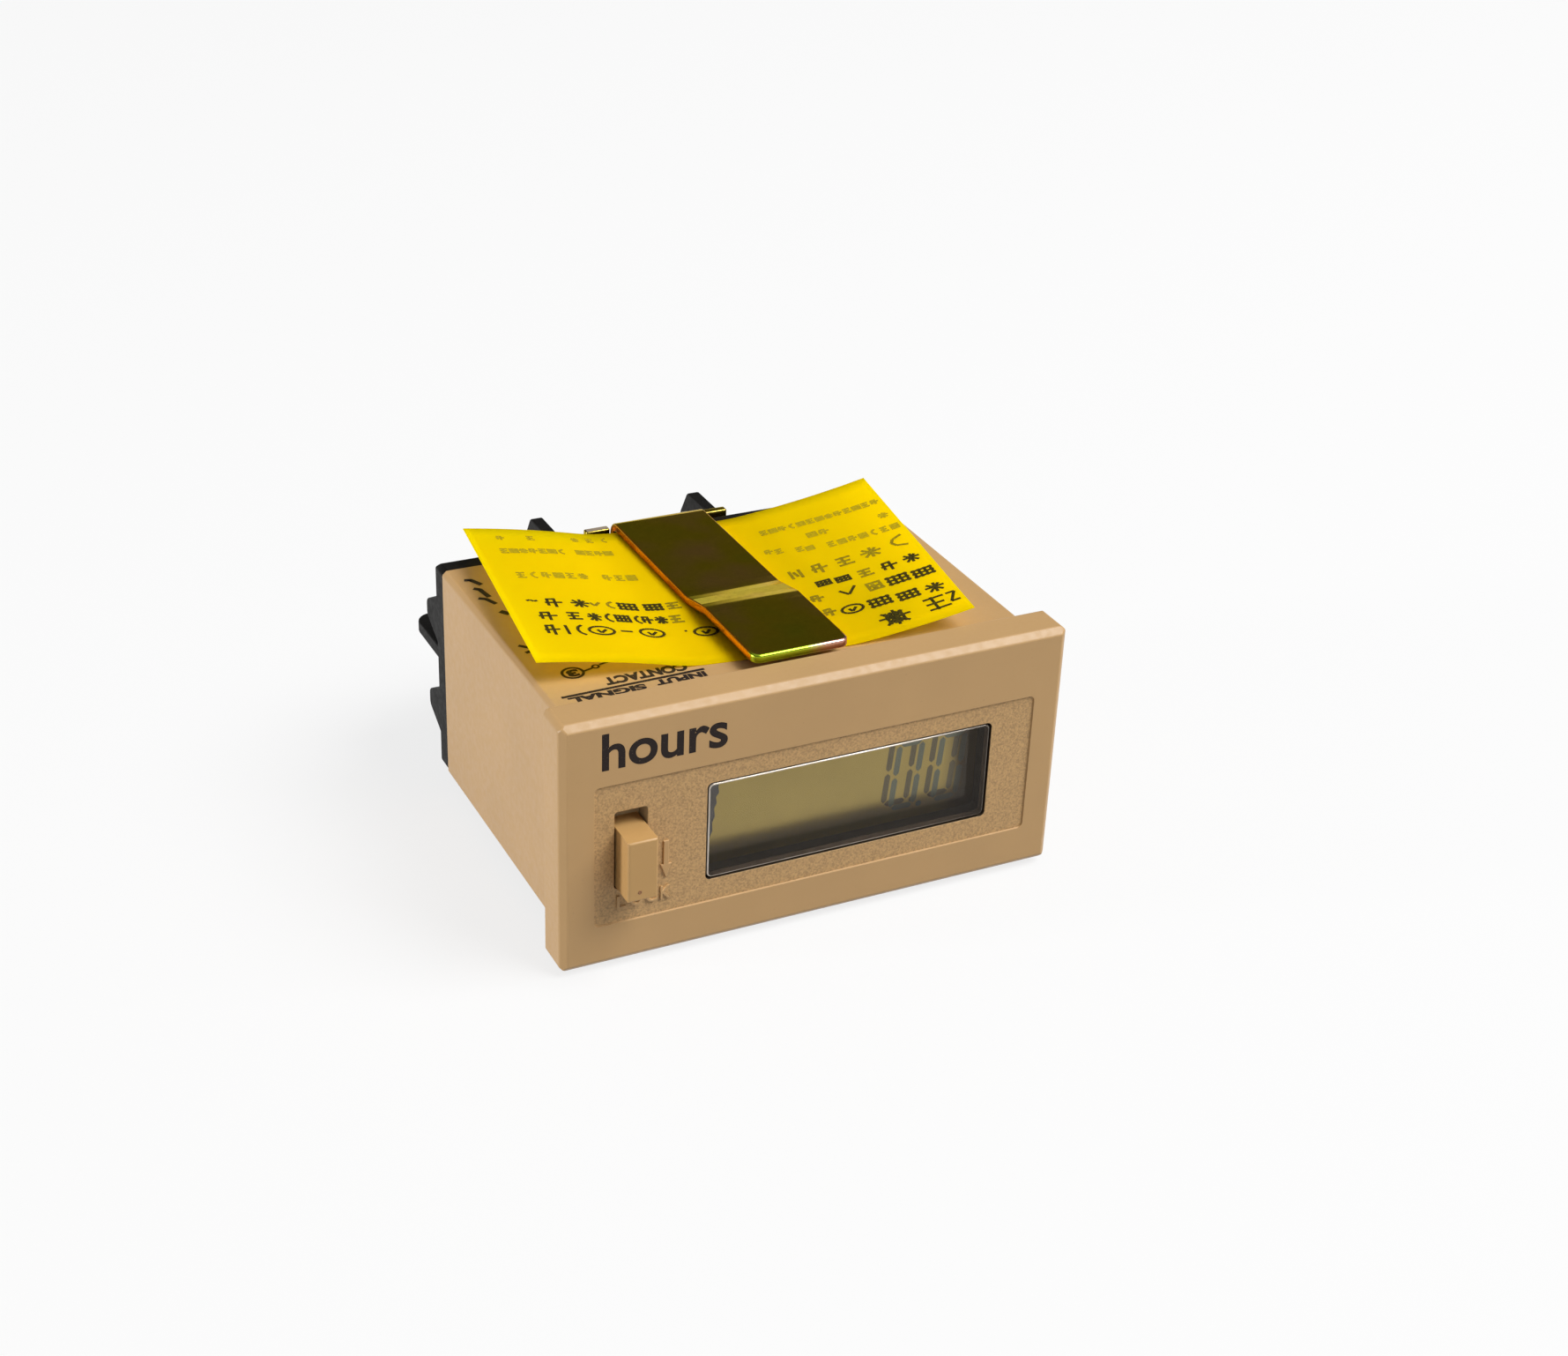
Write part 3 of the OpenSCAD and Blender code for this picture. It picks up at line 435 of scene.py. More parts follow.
softened("display_window_clear", "display_window", "housing", "window_clear", 0.13 * mm, clear, painted_edge_highlight,
         painted_side_shade, share=window_edges, sort=window_face, edge_material=1, reshape=drawn_in)

# Display and its holder
# Two bonded glasses with a grey green reflecting film, in a black holder that keeps stray light out.
# The dark strokes are the liquid crystal's own, seen twice: once themselves and once in the reflector, where a shifted
# copy of them is a painted reflection.
film_y, film_thickness, print_step = -0.15 * mm, 0.15 * mm, 0.004 * mm


def dress(material, *nodes):
    """Gives CAD pieces that stay as they are their finish."""
    for node in nodes:
        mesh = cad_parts[node].data
        mesh.materials.clear()
        mesh.materials.append(material)


dress(moulded("holder_black", (0.012, 0.011, 0.010), 0.6, 0.5 * mm, 0.004 * mm), "lcd_holder")
cell_glass, tree, shader = finish("cell_glass", (0.1, 0.11, 0.08), 0.12)
tree.links.new(shades(tree, mottle(tree, 3 * mm), (0.3, (0.085, 0.1, 0.07)), (0.7, (0.12, 0.13, 0.09))),
               shader.inputs["Base Color"])
dress(cell_glass, "lcd_cell")


def reflecting(name, colour):
    """Film of the display that sends light back, faintly clouded."""
    material, tree, shader = finish(name, colour, 0.28, 0.8)
    tree.links.new(shades(tree, mottle(tree, 5 * mm), (0.3, lit(colour, 0.95)), (0.7, lit(colour, 1.05))),
                   shader.inputs["Base Color"])
    relief(tree, shader, mottle(tree, 0.4 * mm), 0.002 * mm)
    return material


film_olive = reflecting("reflecting_film", (0.38, 0.277, 0.08))
tree = film_olive.node_tree
film_colour = tree.nodes["Principled BSDF"].inputs["Base Color"]
# The film is painted darker towards the right and towards the bottom, a painted shade from the window's frame.
dimmed(tree, film_colour, "X", 13.7 * mm, 15.6 * mm, (0.4, 0.4, 0.56))
dimmed(tree, film_colour, "Z", -3.8 * mm, -5.3 * mm, (0.5, 0.5, 0.6))
form = bmesh.new()
bmesh.ops.create_cube(form, size=1)
bmesh.ops.scale(form, vec=(28.1 * mm, film_thickness, 10.1 * mm), verts=form.verts)
bmesh.ops.translate(form, vec=(3.1 * mm, film_y / 2, -0.95 * mm), verts=form.verts)
bmesh.ops.bevel(form, geom=form.edges[:], offset=0.03 * mm, affect="EDGES", segments=2, profile=0.5, material=-1)
add_piece("display_film", from_form("display_film", form), "housing", "lcd_glass", film_olive)

digit_width, digit_height, digit_lean, stroke, stroke_gap = 2.27 * mm, 6.4 * mm, 0.1, 0.58 * mm, 0.09 * mm
digit_lefts, digit_middle = (8.93 * mm, 13.28 * mm), -1.38 * mm
point_x, point_z, point_radius = 11.49 * mm, -4.68 * mm, 0.3 * mm
nought_strokes = (((0, 1), (1, 1)), ((0, 1), (0, 0)), ((1, 1), (1, 0)), ((0, 0), (0, -1)), ((1, 0), (1, -1)),
                  ((0, -1), (1, -1)))


def front_face(form, points):
    """A flat face through the points, facing -Y."""
    face = form.faces.new([form.verts.new(p) for p in points])
    face.normal_update()
    if face.normal.y > 0:
        face.normal_flip()


def pointed_bar(form, start, end):
    """One stroke of a digit, a flat bar with pointed ends."""
    along = (end - start).normalized()
    across = Vector((-along.z, 0, along.x)) * stroke / 2
    gap, point = along * stroke_gap, along * stroke / 2
    start, end = start + gap, end - gap
    front_face(form, (start, start + point - across, end - point - across, end, end - point + across,
                      start + point + across))


def digits(name, shift_x, shift_z, y, material):
    """The display's figures, nought point nought."""
    form = bmesh.new()
    for left in digit_lefts:
        def at(across, up):
            z = up * digit_height / 2
            return Vector((left + across * digit_width + digit_lean * z + shift_x, y, digit_middle + shift_z + z))
        for start, end in nought_strokes:
            pointed_bar(form, at(*start), at(*end))
    point = bmesh.ops.create_circle(form, cap_ends=True, segments=12, radius=point_radius)["verts"]
    bmesh.ops.rotate(form, matrix=Matrix.Rotation(math.pi / 2, 3, "X"), verts=point)
    bmesh.ops.translate(form, vec=(point_x + shift_x, y, point_z + shift_z), verts=point)
    add_piece(name, from_form(name, form), "housing", "lcd_glass", material)


# A shifted, browner copy of the figures is a painted reflection of them in the reflector.
digits("figures_painted_reflection", -0.76 * mm, 0.6 * mm, film_y - print_step,
       reflecting("figure_painted_reflection", (0.115, 0.095, 0.055)))
digits("figures", 0, 0, film_y - 2 * print_step, reflecting("figure_grey", (0.125, 0.135, 0.1)))

form = bmesh.new()
seal_rim = [(-10.9, 4.05), (-8.35, 4.05), (-8.2, 2.3), (-8.45, 1.6), (-8.35, 1.0), (-8.65, 0.6), (-8.55, 0.0),
            (-8.8, -0.5), (-8.7, -1.3), (-8.95, -1.9), (-8.9, -2.7), (-9.2, -3.5), (-9.5, -5.9), (-10.9, -5.9)]
front_face(form, [(x * mm, film_y - print_step, z * mm) for x, z in seal_rim])
add_piece("display_seal", from_form("display_seal", form), "housing", "lcd_glass",
          reflecting("seal_grey", (0.07, 0.068, 0.07)))

contact_rubber, tree, shader = finish("contact_rubber", (0.2, 0.2, 0.205), 0.8)
layers = mottle(tree, 0.12 * mm, 1, stretch=(1, 0.02, 0.02))
tree.links.new(shades(tree, layers, (0.4, (0.05, 0.05, 0.05)), (0.6, (0.4, 0.4, 0.4))), shader.inputs["Base Color"])
relief(tree, shader, layers, 0.01 * mm)
dress(contact_rubber, "upper_contact_strip", "lower_contact_strip")

# Reset key
# A tan plastic key that stands out of its slot: it slides up to free it and is pressed to reset.
# The small mark near its foot is where the plastic entered the mould.
key_plastic = moulded("key_plastic", (0.52, 0.305, 0.11), 0.42, 0.35 * mm, 0.004 * mm)
# The flange is painted paler than the key, a painted light against the shade it lies in behind the slot.
flange_painted_light = moulded("key_flange_painted_light", (0.56, 0.43, 0.25), 0.5, 0.35 * mm, 0.004 * mm)
key_front_y, key_root_y, key_middle = -6.65 * mm, -3 * mm, Vector((-17.65, 0, -1.5)) * mm
chamfer, chamfer_cut, near = 0.3 * mm, 0.18 * mm, 0.05 * mm


def narrow_chamfer(point):
    """Brings the chamfer round the key's front from 0.3 mm down to 0.12 mm."""
    out = point - key_middle
    if abs(point.y - key_front_y) < near:
        return point + Vector((math.copysign(chamfer_cut, out.x), 0, math.copysign(chamfer_cut, out.z)))
    return point - Vector((0, chamfer_cut, 0)) if abs(point.y - key_front_y - chamfer) < near else point


def key_face(face):
    """The flange behind the slot is painted paler than the key, a painted light that lifts the shade of the slot."""
    return 1 if face.normal.y < -0.9 and face.calc_center_median().y > key_root_y else 0


softened("reset_key_moulding", "reset_key", "key", "key_tan", 0.05 * mm, key_plastic, flange_painted_light,
         sort=key_face, reshape=narrow_chamfer)

gate_place = Vector((-17.93 * mm, key_front_y, -3.55 * mm))
form = bmesh.new()
bmesh.ops.create_cone(form, cap_ends=True, segments=20, radius1=0.26 * mm, radius2=0.14 * mm, depth=0.08 * mm)
bmesh.ops.rotate(form, matrix=Matrix.Rotation(math.pi / 2, 3, "X"), verts=form.verts)
bmesh.ops.translate(form, vec=gate_place, verts=form.verts)
tip = min(form.faces, key=lambda f: f.calc_center_median().y)
bmesh.ops.inset_individual(form, faces=[tip], thickness=0.05 * mm, depth=-0.03 * mm)
gate_plastic = moulded("gate_mark_plastic", (0.3, 0.14, 0.05), 0.35, 0.2 * mm, 0.004 * mm)
add_piece("gate_mark", from_form("gate_mark", form), "key", "key_tan", gate_plastic)

# Carriage and spring of the key
# A black plastic frame slides up and down behind the front wall with the key in it.
# A small coil of spring wire in it pushes the key out again.
dress(moulded("carriage_black", (0.03, 0.03, 0.031), 0.5, 0.4 * mm, 0.004 * mm), "key_carriage")


def metal(name, colour, roughness, grain, stretch=(1, 1, 1)):
    """Bare or plated metal with fine marks along one direction."""
    material, tree, shader = finish(name, colour, roughness, 1.0)
    marks = mottle(tree, grain, 3, stretch)
    tree.links.new(shades(tree, marks, (0.3, lit(colour, 0.88)), (0.7, lit(colour, 1.1))), shader.inputs["Base Color"])
    dulled(tree, shader, marks, roughness - 0.06, roughness + 0.1)
    relief(tree, shader, marks, 0.002 * mm)
    return material


form = bmesh.new()
form.from_mesh(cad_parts["key_spring"].data)
bmesh.ops.remove_doubles(form, verts=form.verts, dist=weld)
for face in form.faces:
    face.smooth = True
spring = add_piece("key_spring_coil", from_form("key_spring_coil", form), "carriage", "spring_steel",
                   metal("spring_wire", (0.6, 0.6, 0.62), 0.25, 0.2 * mm))
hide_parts("key_spring")
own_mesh(spring)

# Display board and what is soldered on it
# Glass epoxy board under green solder mask, with the push switch behind the key, the counter chip,
# a quartz crystal in a steel can and a row of chip capacitors.
board_green, tree, shader = finish("solder_mask", (0.03, 0.16, 0.06), 0.35)
place = tree.nodes.new("ShaderNodeTexCoord")
tracks = tree.nodes.new("ShaderNodeTexBrick")
tracks.inputs["Scale"].default_value = 260
tracks.inputs["Mortar Size"].default_value = 0.035
tracks.inputs["Color1"].default_value = (0.022, 0.12, 0.045, 1)
tracks.inputs["Color2"].default_value = (0.028, 0.14, 0.05, 1)
tracks.inputs["Mortar"].default_value = (0.07, 0.27, 0.1, 1)
turn = tree.nodes.new("ShaderNodeMapping")
turn.inputs["Rotation"].default_value = (math.pi / 2, 0, 0)
tree.links.new(place.outputs["Object"], turn.inputs["Vector"])
tree.links.new(turn.outputs["Vector"], tracks.inputs["Vector"])
tree.links.new(tracks.outputs["Color"], shader.inputs["Base Color"])
relief(tree, shader, tracks.outputs["Fac"], 0.02 * mm)
dress(board_green, "display_board", "input_board")
dress(moulded("chip_epoxy", (0.022, 0.022, 0.024), 0.55, 0.15 * mm, 0.004 * mm, 0.6), "counter_chip", "reset_switch",
      "photocoupler")
dress(metal("nickel_plate", (0.66, 0.65, 0.63), 0.25, 0.3 * mm, (1, 1, 0.2)), "quartz_crystal", "battery_cell")
dress(moulded("fired_ceramic", (0.36, 0.24, 0.13), 0.6, 0.1 * mm, 0.006 * mm, 0.8), "chip_capacitors")

# Battery tabs and the pins between the boards
# Nickel strips are spot welded to the lithium cell, and tinned brass pins join the two boards.
dress(metal("nickel_strip", (0.68, 0.66, 0.6), 0.3, 0.25 * mm, (0.2, 1, 1)), "battery_positive_tab",
      "battery_negative_tab")
dress(metal("tinned_pins", (0.72, 0.68, 0.55), 0.3, 0.15 * mm), "board_link_pins")

# Input parts on the rear board
# Two lacquered resistors with colour rings and a small electrolytic capacitor in a printed film sleeve.
body_blue, brown, black, red = (0.2, 0.33, 0.4), (0.12, 0.045, 0.02), (0.015, 0.015, 0.015), (0.4, 0.03, 0.02)
body_half = 3.15 * mm
resistor, tree, shader = finish("resistor_lacquer", body_blue, 0.4)
rings = tree.nodes.new("ShaderNodeValToRGB")
rings.color_ramp.interpolation = "CONSTANT"
marks = rings.color_ramp.elements
marks[0].color = (*body_blue, 1)
marks[1].position, marks[1].color = 0.2, (*brown, 1)
for spot, colour in ((0.28, body_blue), (0.38, black), (0.46, body_blue), (0.56, red), (0.64, body_blue),
                     (0.76, brown), (0.84, body_blue)):
    marks.new(spot).color = (*colour, 1)
tree.links.new(along_axis(tree, "Z", -body_half, body_half), rings.inputs["Fac"])
clouds = shades(tree, mottle(tree, 0.8 * mm), (0.3, (0.9,) * 3), (0.7, (1, 1, 1)))
tree.links.new(over(tree, rings.outputs["Color"], clouds), shader.inputs["Base Color"])
dress(resistor, "input_resistors")
dress(moulded("capacitor_film", (0.02, 0.025, 0.075), 0.3, 0.5 * mm, 0.006 * mm), "smoothing_capacitor")

# Terminal block
# A black moulding plugged into the rear of the case, with upright and level barriers between the terminals
# and a lip beside each for the wire.
block_black = moulded("block_black", (0.008, 0.0073, 0.0066), 0.5, 0.5 * mm, 0.006 * mm, 1.6)
shader = block_black.node_tree.nodes["Principled BSDF"]
shader.inputs["Specular IOR Level"].default_value = 0.1
shader.inputs["Specular Tint"].default_value = (0.4, 0.4, 0.4, 1)
softened("terminal_block_moulding", "terminal_block", "housing", "block_black", 0.14 * mm, block_black)

# Terminals
# Tin plated brass plates with tails to the input board, square clamp washers and M3 screws with domed heads.
dress(metal("tinned_brass", (0.74, 0.66, 0.45), 0.3, 0.4 * mm, (1, 1, 0.15)),
      *(f"terminal_plate_{i}" for i in (1, 2, 3, 4)))
dress(metal("washer_zinc", (0.66, 0.65, 0.6), 0.32, 0.3 * mm, (0.3, 1, 1)), "clamp_washers")
dress(metal("screw_zinc", (0.7, 0.69, 0.66), 0.28, 0.25 * mm), "terminal_screws")

# Mounting bracket
# Spring steel strip bent into a U that clamps the case in its panel, with a raised front third on each leg.
# It is zinc plated and passivated yellow, so its gloss shifts between gold, green and pink.
strip_half, tip_y, tip_z, shoulder_x, shoulder_y = 5 * mm, 1.3 * mm, 12.4 * mm, -4.7 * mm, 31 * mm
bends, bend_reach, bend_spread, slope = ((10.4 * mm, 1), (14.4 * mm, -1)), 0.15 * mm, 7, 0.2
strip_flat, strip_side, strip_tip, shoulder_painted_highlight = range(4)


def passivated(name, roughness, spread, *tints):
    """Glossy zinc under a thin film, with tints that follow one another over the given spread."""
    material, tree, shader = finish(name, tints[0], roughness, 1.0)
    shader.inputs["Specular Tint"].default_value = (0.9, 0.82, 0.5, 1)
    stops = [(0.3 + 0.4 * i / (len(tints) - 1), tint) for i, tint in enumerate(tints)]
    pits = shades(tree, mottle(tree, 0.2 * mm), (0.3, (0.92,) * 3), (0.6, (1, 1, 1)))
    tree.links.new(over(tree, shades(tree, mottle(tree, spread), *stops), pits), shader.inputs["Base Color"])
    dulled(tree, shader, mottle(tree, 0.6 * mm, 3), roughness - 0.03, roughness + 0.06)
    relief(tree, shader, mottle(tree, 1.2 * mm), 0.002 * mm)
    return material


def bracket_face(face):
    """The cut sides of the strip are orange, its tips take the tints of the rims, and one shoulder is painted pale, a
    painted highlight.
    """
    centre = face.calc_center_median()
    if centre.y < tip_y and face.normal.y < -0.1:
        return strip_tip
    if centre.y > shoulder_y and centre.x < shoulder_x and face.normal.z > 0.9:
        return shoulder_painted_highlight
    return strip_side if abs(face.normal.x) > 0.9 and abs(centre.x) < strip_half else strip_flat


def bracket_edges(edge):
    """The upper edges of the tips are rounded more than the rest."""
    return 1 if all(v.co.y < tip_y and abs(v.co.z) > tip_z for v in edge.verts) else 0.65


def wide_bends(point):
    """Spreads the bends at both ends of the sloping part over 1.4 mm each, along the flats and the slope."""
    for bend, way in bends:
        if abs(point.y - bend) < bend_reach:
            y = bend + bend_spread * (point.y - bend)
            drop = slope * (max(0, way * (y - bend)) - max(0, way * (point.y - bend)))
            return Vector((point.x, y, point.z - math.copysign(drop, way * point.z)))
    return point


bracket_yellow = passivated("yellow_passivate", 0.13, 7 * mm, (0.46, 0.41, 0.02), (0.55, 0.4, 0.02),
                            (0.62, 0.36, 0.09))
bracket_orange = passivated("passivate_on_sides", 0.25, 5 * mm, (0.8, 0.27, 0.01), (0.95, 0.36, 0.01),
                            (0.6, 0.18, 0.06))
# At the tips the rims take green to pink tints over a near white base, brighter than the flats. The tints are the
# plating's own, and the brightness is a painted highlight.
bracket_rims = passivated("passivate_on_rims", 0.22, 4 * mm, (0.9,) * 3, (1.0,) * 3)
tree = bracket_rims.node_tree
rim_colour = tree.nodes["Principled BSDF"].inputs["Base Color"]
worn, rim_half = rim_colour.links[0].from_socket, 4.6 * mm
rim_tint = shades(tree, along_axis(tree, "X", -rim_half, rim_half), (0.0, (0.5, 0.7, 0.04)),
                  (0.55, (0.55, 0.75, 0.05)), (0.75, (0.85, 0.55, 0.42)), (1.0, (0.8, 0.45, 0.42)))
for start, end, tint in ((1.0 * mm, 1.8 * mm, (0.62, 0.25, 0.02)), (30.5 * mm, 31.2 * mm, (0.4, 0.3, 0.06))):
    changed = tree.nodes.new("ShaderNodeMix")
    changed.data_type = "RGBA"
    changed.inputs["B"].default_value = (*tint, 1)
    tree.links.new(along_axis(tree, "Y", start, end), changed.inputs["Factor"])
    tree.links.new(rim_tint, changed.inputs["A"])
    rim_tint = changed.outputs["Result"]
tree.links.new(over(tree, rim_tint, worn), rim_colour)
# The top of the left rear shoulder is painted pale, a painted highlight.
pale_highlight_paint = passivated("passivate_painted_highlight", 0.5, 3 * mm, (0.75, 0.62, 0.5), (0.85, 0.72, 0.62))
softened("bracket_strip", "mounting_bracket", "bracket", "bracket_zinc", 0.22 * mm, bracket_yellow, bracket_orange,
         bracket_rims, pale_highlight_paint, share=bracket_edges, sort=bracket_face, edge_material=strip_tip,
         flats=5 * mm ** 2, reshape=wide_bends, cuts=(9.3 * mm, 11.5 * mm, 13.3 * mm, 15.5 * mm))

# Instruction slip
# A slip of yellow paper pinched flat under the bracket, its two sides bent upwards.
# Its rows of print are kept as plain signs of a few strokes each.
slip_width, slip_length, paper = 40.0, 27.292, 0.08
slip_turn, slip_flat, slip_bend = math.radians(-6.8), 4.8, 4.0
slip_place, slip_lift = Vector((-1.05, 16.55, 10.75)), 0.035
left_side = dict(side=-1, rise=0.255, curl=-0.0098, skew=math.radians(-2.2))
right_side = dict(side=1, rise=0.115, curl=0.0093, skew=math.radians(5.8))


def slip_side(flat, side, rise, curl, skew):
    """Shift of a point of the flat sheet past the bend of one side, where the sheet rises by rise and curl."""
    out = Vector((side * math.cos(skew), math.sin(skew)))
    past = flat.dot(out) - slip_flat * math.cos(skew)
    if past <= 0:
        return Vector((0, 0, 0))
    bent, start = min(past, slip_bend), rise / slip_bend + curl
    height = rise * (past ** 2 / (2 * slip_bend) if past < slip_bend else past - slip_bend / 2) + curl * past ** 2 / 2
    loss = start ** 2 * bent ** 3 / 6
    if past > slip_bend:
        loss += ((rise + curl * past) ** 3 - (rise + curl * slip_bend) ** 3) / (6 * curl)
    return Vector((*(-out * loss), height))


def on_slip(across, along, up):
    """Point of the slip, from millimetres across it from its middle and along it from its front edge."""
    flat = Vector((across, along - slip_length / 2))
    point = Vector((*flat, up + slip_lift)) + slip_side(flat, **left_side) + slip_side(flat, **right_side)
    return (Matrix.Rotation(slip_turn, 3, "Z") @ point + slip_place) * mm


slip_paper, tree, shader = finish("yellow_paper", (0.82, 0.64, 0.001), 0.9)
shader.inputs["Specular IOR Level"].default_value = 0.01
fibres = mottle(tree, 0.35 * mm, 3)
tree.links.new(shades(tree, fibres, (0.3, (0.8, 0.62, 0.0005)), (0.7, (0.85, 0.66, 0.001))),
               shader.inputs["Base Color"])
relief(tree, shader, fibres, 0.012 * mm)
glow = tree.nodes.new("ShaderNodeBsdfTranslucent")
glow.inputs["Color"].default_value = (1.26, 1.16, 0.002, 1)
both = tree.nodes.new("ShaderNodeMixShader")
both.inputs["Fac"].default_value = 0.5
tree.links.new(shader.outputs["BSDF"], both.inputs[1])
tree.links.new(glow.outputs["BSDF"], both.inputs[2])
tree.links.new(both.outputs["Shader"], tree.nodes["Material Output"].inputs["Surface"])

form = bmesh.new()
bmesh.ops.create_grid(form, x_segments=60, y_segments=16, size=0.5)
for vertex in form.verts:
    vertex.co = on_slip(vertex.co.x * slip_width, (vertex.co.y + 0.5) * slip_length, paper)
    for face in vertex.link_faces:
        face.smooth = True
slip = add_piece("paper_slip", from_form("paper_slip", form), "housing", "slip_paper", slip_paper)
thickness = slip.modifiers.new("paper", "SOLIDIFY")
thickness.thickness = paper * mm
thickness.offset = -1
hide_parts("instruction_slip")


def slip_ink(name, dark, pale):
    """Ink on the slip, thinner in places, where it goes from dark to pale."""
    material, tree, shader = finish(name, dark, 0.8)
    shader.inputs["Specular IOR Level"].default_value = 0.1
    tree.links.new(shades(tree, mottle(tree, 0.2 * mm), (0.35, dark), (0.75, pale)), shader.inputs["Base Color"])
    return material


print_lift, print_edge = 0.008, slip_width / 2 - 0.1
arc = [(0.25, 0.5), (-0.1, 0.3), (-0.22, 0), (-0.1, -0.3), (0.25, -0.5)]
oval = [(0.5 * math.cos(math.tau * i / 16), 0.5 * math.sin(math.tau * i / 16)) for i in range(17)]
sign_strokes = {
    "-": [[(-0.5, 0), (0.5, 0)]],
    ".": [[(-0.08, 0), (0.08, 0)]],
    "l": [[(0, 0.5), (0, -0.5)]],
    "(": [arc],
    "x": [[(-0.5, 0), (0.5, 0.05)], [(0.1, 0.5), (0.05, -0.5)], [(-0.35, 0.4), (0.05, 0.4)],
          [(-0.3, 0.45), (-0.35, -0.35)]],
    "z": [[(-0.45, 0.42), (0.4, 0.42), (-0.4, -0.42), (0.45, -0.42)]],
    "e": [[(-0.45, 0.4), (0.4, 0.4)], [(-0.45, 0), (0.3, 0)], [(-0.45, -0.4), (0.45, -0.4)],
          [(-0.1, 0.5), (-0.1, -0.5)]],
    "h": [[(-0.35, 0.5), (-0.35, -0.5)], [(0.3, 0.5), (0.3, -0.5)], [(-0.1, 0.3), (0.05, -0.3)]],
    "#": [[(-0.5, y), (0.5, y)] for y in (-0.36, 0, 0.36)]
         + [[(x, -0.5), (x, 0.5)] for x in (-0.38, -0.12, 0.14, 0.4)],
    "*": [[(-0.5, 0.05), (0.5, 0.05)], [(0.05, 0.5), (0, -0.5)], [(-0.35, 0.4), (0.35, -0.4)],
          [(-0.35, -0.4), (0.3, 0.35)]],
    "o": [oval, [(-0.16, 0.1), (-0.05, -0.28), (0.2, 0.15)]],
    "v": [[(-0.5, 0.3), (-0.1, -0.45), (0.5, 0.5)]],
    "~": [[(-0.5, 0.05), (-0.15, 0.2), (0.15, -0.05), (0.5, 0.1)]],
}


def print_sign(form, sign, across, along, width, height, line):
    """One sign on the slip, drawn with bars of the given line width."""
    for stroke in sign_strokes[sign]:
        places = [(min(print_edge, across + x * width), along + y * height) for x, y in stroke]
        for start, end in zip(places, places[1:]):
            for vertex in bar(form, start, end, line):
                vertex.co = on_slip(vertex.co.x, vertex.co.y, paper + print_lift)


def print_row(form, signs, start, end, width, height, line):
    """A row of signs spread evenly between two places, with a blank for each space."""
    for i, sign in enumerate(signs):
        share = i / (len(signs) - 1)
        if sign != " ":
            print_sign(form, sign, *(a + (b - a) * share for a, b in zip(start, end)), width, height, line)


form = bmesh.new()
for sign, across, along, width, height in (
        ("x", -17.0, 6.0, 1.4, 2.0), ("l", -15.7, 6.0, 0.6, 1.8), ("(", -14.5, 6.0, 1.2, 1.9),
        ("o", -12.6, 6.0, 2.3, 1.6), ("-", -10.3, 6.1, 1.1, 1), ("o", -7.95, 6.1, 2.2, 1.6),
        (".", -4.8, 6.3, 1.5, 1), ("o", -3.1, 5.8, 2.1, 1.6), ("x", -16.7, 8.7, 1.7, 1.7),
        ("e", -14.3, 8.8, 1.4, 1.5), ("*", -12.5, 8.7, 1.3, 1.6), ("(", -11.2, 8.7, 1.1, 1.6),
        ("#", -9.9, 8.7, 1.5, 1.5), ("(", -8.5, 8.7, 1.0, 1.5), ("x", -7.6, 8.7, 1.1, 1.5),
        ("*", -6.3, 8.7, 1.2, 1.5), ("~", -17.4, 11.7, 1.0, 1.0), ("x", -15.5, 11.4, 1.6, 1.8),
        ("*", -13.1, 11.4, 1.7, 1.6), ("#", -8.7, 11.3, 1.9, 1.5), ("#", -6.3, 11.3, 1.8, 1.4),
        ("#", 9.9, 11.3, 1.5, 1.1), ("#", 11.7, 11.1, 1.5, 1.1), ("x", 16.2, 10.9, 1.6, 1.6),
        ("*", 18.4, 11.0, 1.6, 1.5), ("v", 11.4, 8.8, 1.6, 1.3), ("#", 16.0, 8.3, 2.2, 1.6),
        ("#", 18.4, 8.1, 2.1, 1.5), ("o", 10.6, 5.7, 2.0, 1.4), ("#", 13.2, 5.6, 2.2, 1.6),
        ("#", 15.8, 5.3, 2.1, 1.5), ("*", 18.3, 5.1, 1.8, 1.6), ("#", 13.4, 2.4, 1.8, 2.0),
        ("*", 13.4, 2.4, 3.0, 2.6), ("e", 17.5, 2.6, 2.3, 2.3), ("z", 19.1, 2.8, 1.0, 1.7)):
    print_sign(form, sign, across, along, width, height, 0.29)
add_piece("slip_print", from_form("slip_print", form), "housing", "slip_paper",
          slip_ink("slip_black_ink", (0.02, 0.017, 0.003), (0.1, 0.075, 0.004)))

form = bmesh.new()
for sign, across, along, width, height in (
        ("e", -4.9, 8.7, 1.3, 1.5), ("v", -11.7, 11.4, 0.9, 0.8), ("(", -10.3, 11.4, 1.2, 1.3),
        ("e", -4.4, 11.3, 1.4, 1.3), ("e", 13.9, 11.0, 1.5, 1.3), ("x", 8.4, 8.9, 1.3, 1.3),
        ("e", 13.8, 8.4, 1.7, 1.5), ("h", 13.8, 8.4, 1.8, 1.5), ("x", 8.6, 6.1, 1.2, 1.4),
        ("(", 18.4, 14.4, 2.8, 2.0), ("*", 15.6, 14.1, 2.0, 1.8), ("e", 13.0, 14.0, 1.7, 1.6),
        ("x", 10.5, 14.0, 1.6, 1.8), ("h", 8.2, 14.0, 1.4, 1.6)):
    print_sign(form, sign, across, along, width, height, 0.3)
add_piece("slip_grey_print", from_form("slip_grey_print", form), "housing", "slip_paper",
          slip_ink("slip_grey_ink", (0.2, 0.145, 0.004), (0.4, 0.29, 0.004)))

